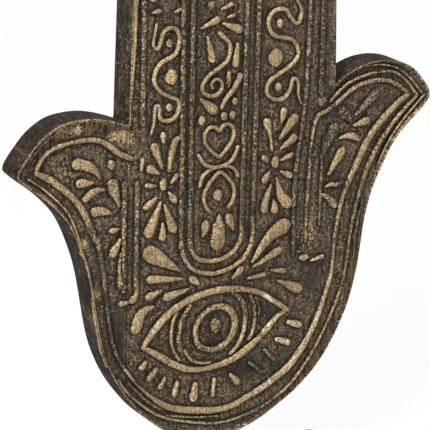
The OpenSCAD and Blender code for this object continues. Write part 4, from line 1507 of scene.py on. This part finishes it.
class SpeckleGroup:
    """A shader group: fine specks, upright grain streaks and broad clouds."""

    STREAK = (1.0, 0.7, 0.09)
    CLOUD_SCALE = 55.0

    def __init__(self) -> None:
        """Builds the group once."""
        self.tree = bpy.data.node_groups.new("specks and grain", "ShaderNodeTree")
        io = self.tree.interface
        io.new_socket("Coordinates", in_out="INPUT", socket_type="NodeSocketVector")
        for name in ("Speck Scale", "Grain Scale"):
            io.new_socket(name, in_out="INPUT", socket_type="NodeSocketFloat")
        for name in ("Specks", "Grain", "Clouds", "Height"):
            io.new_socket(name, in_out="OUTPUT", socket_type="NodeSocketFloat")
        b = NodeBuilder(self.tree)
        given = b.add("NodeGroupInput").outputs
        at = given["Coordinates"]
        specks = b.noise(at, given["Speck Scale"], 4.0, 0.75)
        grain = b.noise(b.stretched(at, self.STREAK), given["Grain Scale"], 3.0, 0.6)
        clouds = b.noise(at, self.CLOUD_SCALE, 3.0, 0.6)
        height = b.math("ADD", b.math("MULTIPLY", specks, 0.6), b.math("MULTIPLY", grain, 0.8))
        b.add("NodeGroupOutput", {"Specks": specks, "Grain": grain, "Clouds": clouds, "Height": height})

    def place(self, b: NodeBuilder, coordinates: Feed, speck_scale: float,
              grain_scale: float) -> bpy.types.NodeOutputs:
        """Places the group in a material.

        Args:
            b: the builder of the material's tree.
            coordinates: where the pattern is taken.
            speck_scale: the scale of the specks.
            grain_scale: the scale of the grain.

        Returns:
            The group's outputs by name.
        """
        inputs = {"Coordinates": coordinates, "Speck Scale": speck_scale, "Grain Scale": grain_scale}
        return b.add("ShaderNodeGroup", inputs, node_tree=self.tree).outputs


@dataclass(frozen=True)
class CarvedWoodFinish:
    """Dark stained wood with gold rubbed over the raised carving."""

    dark: tuple = rgb(33, 29, 25)
    brown: tuple = rgb(104, 90, 71)
    fleck: tuple = rgb(198, 176, 138)
    stain: tuple = rgb(37, 34, 31)
    # the colour of the shade painted beside and under the strokes
    recess: tuple = rgb(26, 23, 20)
    gold: tuple = rgb(152, 126, 88)
    pale_gold: tuple = rgb(208, 185, 141)
    # the colour of the highlight painted on the gold
    highlight_gold: tuple = rgb(236, 219, 182)
    bronze: tuple = rgb(112, 90, 64)
    wall_dark: tuple = rgb(18, 12, 8)
    wall_light: tuple = rgb(51, 40, 29)
    bare: tuple = rgb(226, 219, 203)
    speck_scale: float = 860.0
    grain_scale: float = 720.0
    coarse_scale: float = 330.0
    coarse_streak: tuple = (1.0, 0.15, 0.1)
    roughness: float = 0.66
    gold_smoothing: float = 0.16
    gold_metal: float = 0.12
    gloss: float = 0.14
    bump: float = 0.95
    bump_height: float = 0.0008

    def stained_ground(self, b: NodeBuilder, worn: bpy.types.NodeOutputs, stain: Feed,
                       recess: Feed) -> Socket:
        """The colour of the face where no gold is.

        Args:
            b: the builder of the material's tree.
            worn: the outputs of the specks and grain.
            stain: the mask of the dark stains.
            recess: the mask of the shade painted in the corners under the strokes.

        Returns:
            The colour.
        """
        specks, grain, clouds = worn["Specks"], worn["Grain"], worn["Clouds"]
        wood = b.mix(b.between(specks, 0.4, 0.6), self.dark, self.brown)
        wood = b.mix(b.between(grain, 0.5, 0.62, most=0.65), wood, self.brown)
        wood = b.mix(b.between(grain, 0.46, 0.36, most=0.6), wood, self.stain)
        flecks = b.math("MULTIPLY", b.between(specks, 0.54, 0.62), b.between(clouds, 0.35, 0.6, 0.3, 0.6))
        wood = b.mix(flecks, wood, self.fleck)
        wood = b.mix(b.math("MULTIPLY", stain, 0.86), wood, self.stain)
        # painted shade in the corners beside the strokes
        return b.mix(b.math("MULTIPLY", recess, 0.8), wood, self.recess)

    def scuffed_side(self, b: NodeBuilder, worn: bpy.types.NodeOutputs, at: Feed, wall: Feed) -> Socket:
        """The colour of the sides and the back, with bronze along the bevel.

        Args:
            b: the builder of the material's tree.
            worn: the outputs of the specks and grain.
            at: the piece's own coordinates.
            wall: the mask of the sides and the back.

        Returns:
            The colour.
        """
        specks, grain, clouds = worn["Specks"], worn["Grain"], worn["Clouds"]
        coarse = b.noise(b.stretched(at, self.coarse_streak), self.coarse_scale, 4.0, 0.7)
        side = b.mix(b.between(grain, 0.42, 0.6), self.wall_dark, self.wall_light)
        side = b.mix(b.between(coarse, 0.53, 0.66, most=0.5), side, self.brown)
        scuffs = b.math("MULTIPLY", b.between(specks, 0.56, 0.68), b.between(clouds, 0.45, 0.62, most=0.7))
        side = b.mix(scuffs, side, self.fleck)
        bevel = b.math("MULTIPLY", b.between(wall, 0.2, 0.6), b.between(wall, 0.95, 0.8))
        return b.mix(b.math("MULTIPLY", bevel, b.between(grain, 0.5, 0.6, most=0.75)), side, self.bronze)

    def rubbed_gold(self, b: NodeBuilder, worn: bpy.types.NodeOutputs, gilding: Feed) -> Socket:
        """The colour of the gold, with a painted highlight where the gilding runs above 1.

        Args:
            b: the builder of the material's tree.
            worn: the outputs of the specks and grain.
            gilding: the mask of the gold; above 1 it carries a painted highlight.

        Returns:
            The colour.
        """
        specks, grain, clouds = worn["Specks"], worn["Grain"], worn["Clouds"]
        # painted highlight: where the gilding runs above 1 the gold is painted pale and bright
        highlight = b.between(gilding, 0.95, 1.35)
        gold = b.mix(b.between(specks, 0.44, 0.62), self.gold, self.pale_gold)
        gold = b.mix(b.between(clouds, 0.56, 0.42, most=0.45), gold, self.bronze)
        painted_glint = b.math("MULTIPLY", highlight, b.between(specks, 0.45, 0.58, 0.1, 1.0))
        gold = b.mix(painted_glint, gold, self.highlight_gold)
        gold = b.mix(b.between(grain, 0.54, 0.66, most=0.6), gold, self.pale_gold)
        gold = b.mix(b.between(grain, 0.46, 0.36, most=0.55), gold, self.bronze)
        gold = b.mix(b.between(specks, 0.5, 0.4, most=0.85), gold, self.brown)
        return b.mix(b.math("MULTIPLY", highlight, b.between(specks, 0.52, 0.44, most=0.85)), gold, self.brown)

    @staticmethod
    def broken_up(b: NodeBuilder, mask: Feed, specks: Feed, breadth: float) -> Socket:
        """Breaks a mask's edge up into specks.

        Args:
            b: the builder of the material's tree.
            mask: the mask's socket.
            specks: the specks' socket.
            breadth: how broadly the edge breaks up.

        Returns:
            The broken mask.
        """
        return b.math("ADD", mask, b.math("MULTIPLY", b.math("SUBTRACT", specks, 0.5), breadth))

    def build(self, speckle: SpeckleGroup) -> bpy.types.Material:
        """Makes the material.

        Args:
            speckle: the shared group of specks and grain.

        Returns:
            The material.
        """
        material, b, shader = blank_finish("carved wood")
        at = b.add("ShaderNodeTexCoord").outputs["Object"]
        gilding, recess, stain, wall, chip = (
            b.add("ShaderNodeAttribute", attribute_name=name).outputs["Fac"]
            for name in ("gilding", "recess", "stain", "wall", "chip")
        )
        worn = speckle.place(b, at, self.speck_scale, self.grain_scale)
        specks = worn["Specks"]
        ground = self.stained_ground(b, worn, stain, recess)
        wood = b.mix(b.between(wall, 0.25, 0.9), ground, self.scuffed_side(b, worn, at, wall))
        rubbed = self.broken_up(b, b.math("MULTIPLY", gilding, 1.25), specks, 2.6)
        rubbed = b.math("MULTIPLY", b.between(rubbed, 0.42, 0.8), b.between(gilding, 0.02, 0.2))
        colour = b.mix(rubbed, wood, self.rubbed_gold(b, worn, gilding))
        flaked = self.broken_up(b, chip, specks, 1.5)
        flaked = b.math("MULTIPLY", b.between(flaked, 0.45, 0.62), b.between(chip, 0.15, 0.3))
        b.feed(shader.inputs["Base Color"], b.mix(flaked, colour, self.bare))
        rough = b.math("SUBTRACT", self.roughness, b.math("MULTIPLY", rubbed, self.gold_smoothing))
        rough = b.math("ADD", rough, b.math("MULTIPLY", wall, 0.16))
        b.feed(shader.inputs["Roughness"], b.math("ADD", rough, b.math("MULTIPLY", specks, 0.1)))
        b.feed(shader.inputs["Metallic"], b.math("MULTIPLY", rubbed, self.gold_metal))
        shader.inputs["Specular IOR Level"].default_value = self.gloss
        b.emboss(shader, worn["Height"], self.bump, self.bump_height)
        return material


@dataclass(frozen=True)
class PlainFinish:
    """A finish of one colour with fine mottling and a little tooth."""

    name: str
    light: tuple
    dark: tuple
    roughness: float
    metallic: float
    speck_scale: float = 900.0
    grain_scale: float = 300.0
    bump: float = 0.15
    bump_height: float = 0.0003
    unevenness: float = 0.12
    along: tuple = (1.0, 1.0, 1.0)

    def build(self, speckle: SpeckleGroup) -> bpy.types.Material:
        """Makes the material.

        Args:
            speckle: the shared group of specks and grain.

        Returns:
            The material.
        """
        material, b, shader = blank_finish(self.name)
        at = b.stretched(b.add("ShaderNodeTexCoord").outputs["Object"], self.along)
        worn = speckle.place(b, at, self.speck_scale, self.grain_scale)
        clouds = worn["Clouds"]
        colour = b.mix(b.between(worn["Specks"], 0.35, 0.65), self.dark, self.light)
        colour = b.mix(b.between(clouds, 0.4, 0.7, most=0.25), colour, self.dark)
        b.feed(shader.inputs["Base Color"], colour)
        shader.inputs["Metallic"].default_value = self.metallic
        smoothest = self.roughness - self.unevenness / 2
        rough = b.math("ADD", smoothest, b.math("MULTIPLY", clouds, self.unevenness))
        b.feed(shader.inputs["Roughness"], rough)
        b.emboss(shader, worn["Height"], self.bump, self.bump_height)
        return material


@dataclass
class Hand:
    """The carved hand: three glued boards."""

    drawing: Drawing
    outline: Outline
    strokes: list
    edge_spacing: float = 0.5
    stroke_spacing: float = 0.8

    def trees(self) -> tuple[KDTree, KDTree]:
        """Makes the search trees of the hand's outline and of its strokes' edges.

        Returns:
            The outline's tree and the strokes' tree.
        """
        outline_points = []
        for run in self.outline.runs():
            outline_points += evenly(run, self.edge_spacing)
        stroke_points = []
        for s in self.strokes:
            line = s.rounded(self.stroke_spacing)
            for before, (x, z, r), after in zip(line, line[1:], line[2:]):
                dx, dz = after[0] - before[0], after[1] - before[1]
                length = math.hypot(dx, dz) or 1.0
                nx, nz = -dz / length, dx / length
                stroke_points += [(x + nx * r, z + nz * r), (x - nx * r, z - nz * r)]
        return search_tree(outline_points), search_tree(stroke_points)

    def build(self, material: bpy.types.Material) -> None:
        """Builds the three boards.

        Args:
            material: the finish of the carved wood.
        """
        d = self.drawing
        ground = Ground(d, *self.trees())
        sweep = StrokeTree()
        for name, node, x0, x1 in (
            ("carved_centre_board", "hand_centre_board", d.left_seam, d.right_seam),
            ("carved_left_thumb_board", "left_thumb_board", -d.past_thumbs, d.left_seam),
            ("carved_right_thumb_board", "right_thumb_board", d.right_seam, d.past_thumbs),
        ):
            CarvedBoard(name, node, x0, x1, d, self.outline).build(self.strokes, ground, sweep, material)


@dataclass(frozen=True)
class Stand:
    """The base plate, its pads, the rod and its screw, which keep their solids."""

    finishes: tuple = (
        ("base_plate", PlainFinish("grey painted steel", rgb(158, 158, 158), rgb(142, 142, 143), 0.55, 0.0)),
        ("stand_rod", PlainFinish(
            "drawn steel", rgb(150, 148, 145), rgb(118, 116, 114), 0.32, 1.0, along=(1.0, 1.0, 8.0),
        )),
        ("rod_screw", PlainFinish("plated steel", rgb(190, 190, 194), rgb(160, 160, 166), 0.3, 1.0)),
        ("base_pads", PlainFinish(
            "black felt", rgb(40, 40, 41), rgb(22, 22, 23), 0.95, 0.0,
            speck_scale=1600.0, grain_scale=900.0, bump=0.6,
        )),
        ("board_dowels", PlainFinish(
            "beech dowel", rgb(205, 172, 128), rgb(180, 146, 104), 0.6, 0.0, along=(0.12, 1.0, 1.0),
        )),
    )

    def dress(self, speckle: SpeckleGroup) -> None:
        """Gives each solid its finish.

        Args:
            speckle: the shared group of specks and grain.
        """
        for node, finish in self.finishes:
            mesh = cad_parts[node].data
            mesh.materials.clear()
            mesh.materials.append(finish.build(speckle))
            log.info("%s: %s", node, finish.name)


@dataclass(frozen=True)
class Lamp:
    """One soft square light, aimed at the hand."""

    name: str
    place: tuple
    size: float
    power: float
    aim: tuple = (0.0, 0.0, 0.2)

    def hang(self) -> None:
        """Hangs the light."""
        data = bpy.data.lights.new(self.name, "AREA")
        data.shape = "SQUARE"
        data.size = self.size
        data.energy = self.power
        lamp = bpy.data.objects.new(self.name, data)
        bpy.context.scene.collection.objects.link(lamp)
        at = Vector(self.place)
        turn = (Vector(self.aim) - at).to_track_quat("-Z", "Y").to_matrix().to_4x4()
        lamp.matrix_world = Matrix.Translation(at) @ turn


@dataclass
class Studio:
    """The camera, the pale floor and the soft lights."""

    drawing: Drawing
    azimuth: float = -34.28
    elevation: float = 20.97
    roll: float = 1.12
    aim: tuple = (-12.8, 183.5)
    focal_pixels: float = 2000.0
    pixels_per_mm: float = 1.87
    frame_pixels: float = 430.0
    sensor_mm: float = 36.0
    far_clip: float = 50.0
    even_light: float = 0.2
    floor_half_width: float = 5.0
    floor_front: float = -4.0
    floor_back: float = 2.2
    curve_radius: float = 0.8
    backdrop_height: float = 4.0
    floor_tone: tuple = (0.86, 0.86, 0.86, 1.0)
    white: tuple = (1.0, 1.0, 1.0, 1.0)
    whitened: float = 0.95
    lamps: tuple = (
        Lamp("key", (-1.1, -0.6, 1.5), 0.35, 46.0),
        Lamp("fill", (1.4, -1.6, 0.8), 1.4, 5.5),
        Lamp("back", (0.3, 1.4, 1.6), 1.0, 9.0),
    )

    def camera(self) -> None:
        """Sets the camera where the photograph was taken from."""
        a, e, r = (math.radians(v) for v in (self.azimuth, self.elevation, self.roll))
        back = Vector((math.sin(a) * math.cos(e), -math.cos(a) * math.cos(e), math.sin(e)))
        right = Vector((math.cos(a), math.sin(a), 0.0))
        up = Vector((-math.sin(a) * math.sin(e), math.cos(a) * math.sin(e), math.cos(e)))
        across = math.cos(r) * right + math.sin(r) * up
        upright = -math.sin(r) * right + math.cos(r) * up
        distance = self.focal_pixels / self.pixels_per_mm * self.drawing.scale / 1000
        data = bpy.data.cameras.new("camera")
        data.sensor_width = self.sensor_mm
        data.lens = self.focal_pixels / self.frame_pixels * self.sensor_mm
        data.clip_end = self.far_clip
        camera = bpy.data.objects.new("camera", data)
        bpy.context.scene.collection.objects.link(camera)
        turn = Matrix((across, upright, back)).transposed().to_4x4()
        camera.matrix_world = Matrix.Translation(self.drawing.place(*self.aim, 0.0) + back * distance) @ turn
        bpy.context.scene.camera = camera

    def floor(self) -> None:
        """Lays the floor and curves it up behind."""
        radius = self.curve_radius
        profile = [(self.floor_front, 0.0), (self.floor_back, 0.0)]
        for degrees in range(10, 91, 10):
            t = math.radians(degrees)
            profile.append((self.floor_back + radius * math.sin(t), radius - radius * math.cos(t)))
        profile.append((self.floor_back + radius, self.backdrop_height))
        bm = bmesh.new()
        sides = (-self.floor_half_width, self.floor_half_width)
        left, right = ([bm.verts.new((x, y, z)) for y, z in profile] for x in sides)
        for i in range(len(profile) - 1):
            bm.faces.new((left[i], right[i], right[i + 1], left[i + 1]))
        mesh = bpy.data.meshes.new("studio_floor")
        bm.to_mesh(mesh)
        bm.free()
        mesh.shade_smooth()
        mesh.materials.append(self.floor_finish())
        floor = bpy.data.objects.new("studio_floor", mesh)
        bpy.context.scene.collection.objects.link(floor)

    def floor_finish(self) -> bpy.types.Material:
        """Makes the pale floor, which looks white and still takes the hand's shadow.

        Returns:
            The material.
        """
        material = bpy.data.materials.new("pale floor")
        material.use_nodes = True
        b = NodeBuilder(material.node_tree)
        b.tree.nodes.clear()
        plain = b.add("ShaderNodeBsdfDiffuse", {"Color": self.floor_tone}).outputs[0]
        glow = b.add("ShaderNodeEmission", {"Color": self.white}).outputs[0]
        share = b.math("MULTIPLY", self.seen(b), self.whitened)
        mixed = b.add("ShaderNodeMixShader", {"Fac": share, 1: plain, 2: glow}).outputs[0]
        b.add("ShaderNodeOutputMaterial", {"Surface": mixed})
        return material

    @staticmethod
    def seen(b: NodeBuilder) -> Socket:
        """Tells rays that show the backdrop from rays that light the hand.

        Args:
            b: the builder of the tree that the nodes go into.

        Returns:
            1 for camera, glossy and transmission rays, otherwise 0.
        """
        ray = b.add("ShaderNodeLightPath").outputs
        seen = b.math("MAXIMUM", ray["Is Camera Ray"], ray["Is Glossy Ray"])
        return b.math("MAXIMUM", seen, ray["Is Transmission Ray"])

    def sky(self) -> None:
        """Lights the hand evenly from all around, and shows white behind the floor's edges."""
        world = bpy.data.worlds.new("studio")
        world.use_nodes = True
        b = NodeBuilder(world.node_tree)
        background = b.tree.nodes["Background"].inputs
        background["Color"].default_value = self.white
        b.feed(background["Strength"], b.between(self.seen(b), 0.0, 1.0, self.even_light, 1.0))
        bpy.context.scene.world = world

    def build(self) -> None:
        """Sets up the whole studio."""
        self.camera()
        self.floor()
        for lamp in self.lamps:
            lamp.hang()
        self.sky()
        bpy.context.scene.view_settings.view_transform = "Standard"


def main() -> None:
    """Builds the studio and the hand, and gives the stand's solids their finishes."""
    logging.basicConfig(level=logging.INFO, format="%(name)s %(message)s")
    drawing = Drawing()
    Studio(drawing).build()
    speckle = SpeckleGroup()
    wood = CarvedWoodFinish().build(speckle)
    Hand(drawing, Outline(drawing), Carving().build()).build(wood)
    Stand().dress(speckle)


if __name__ == "__main__":
    main()
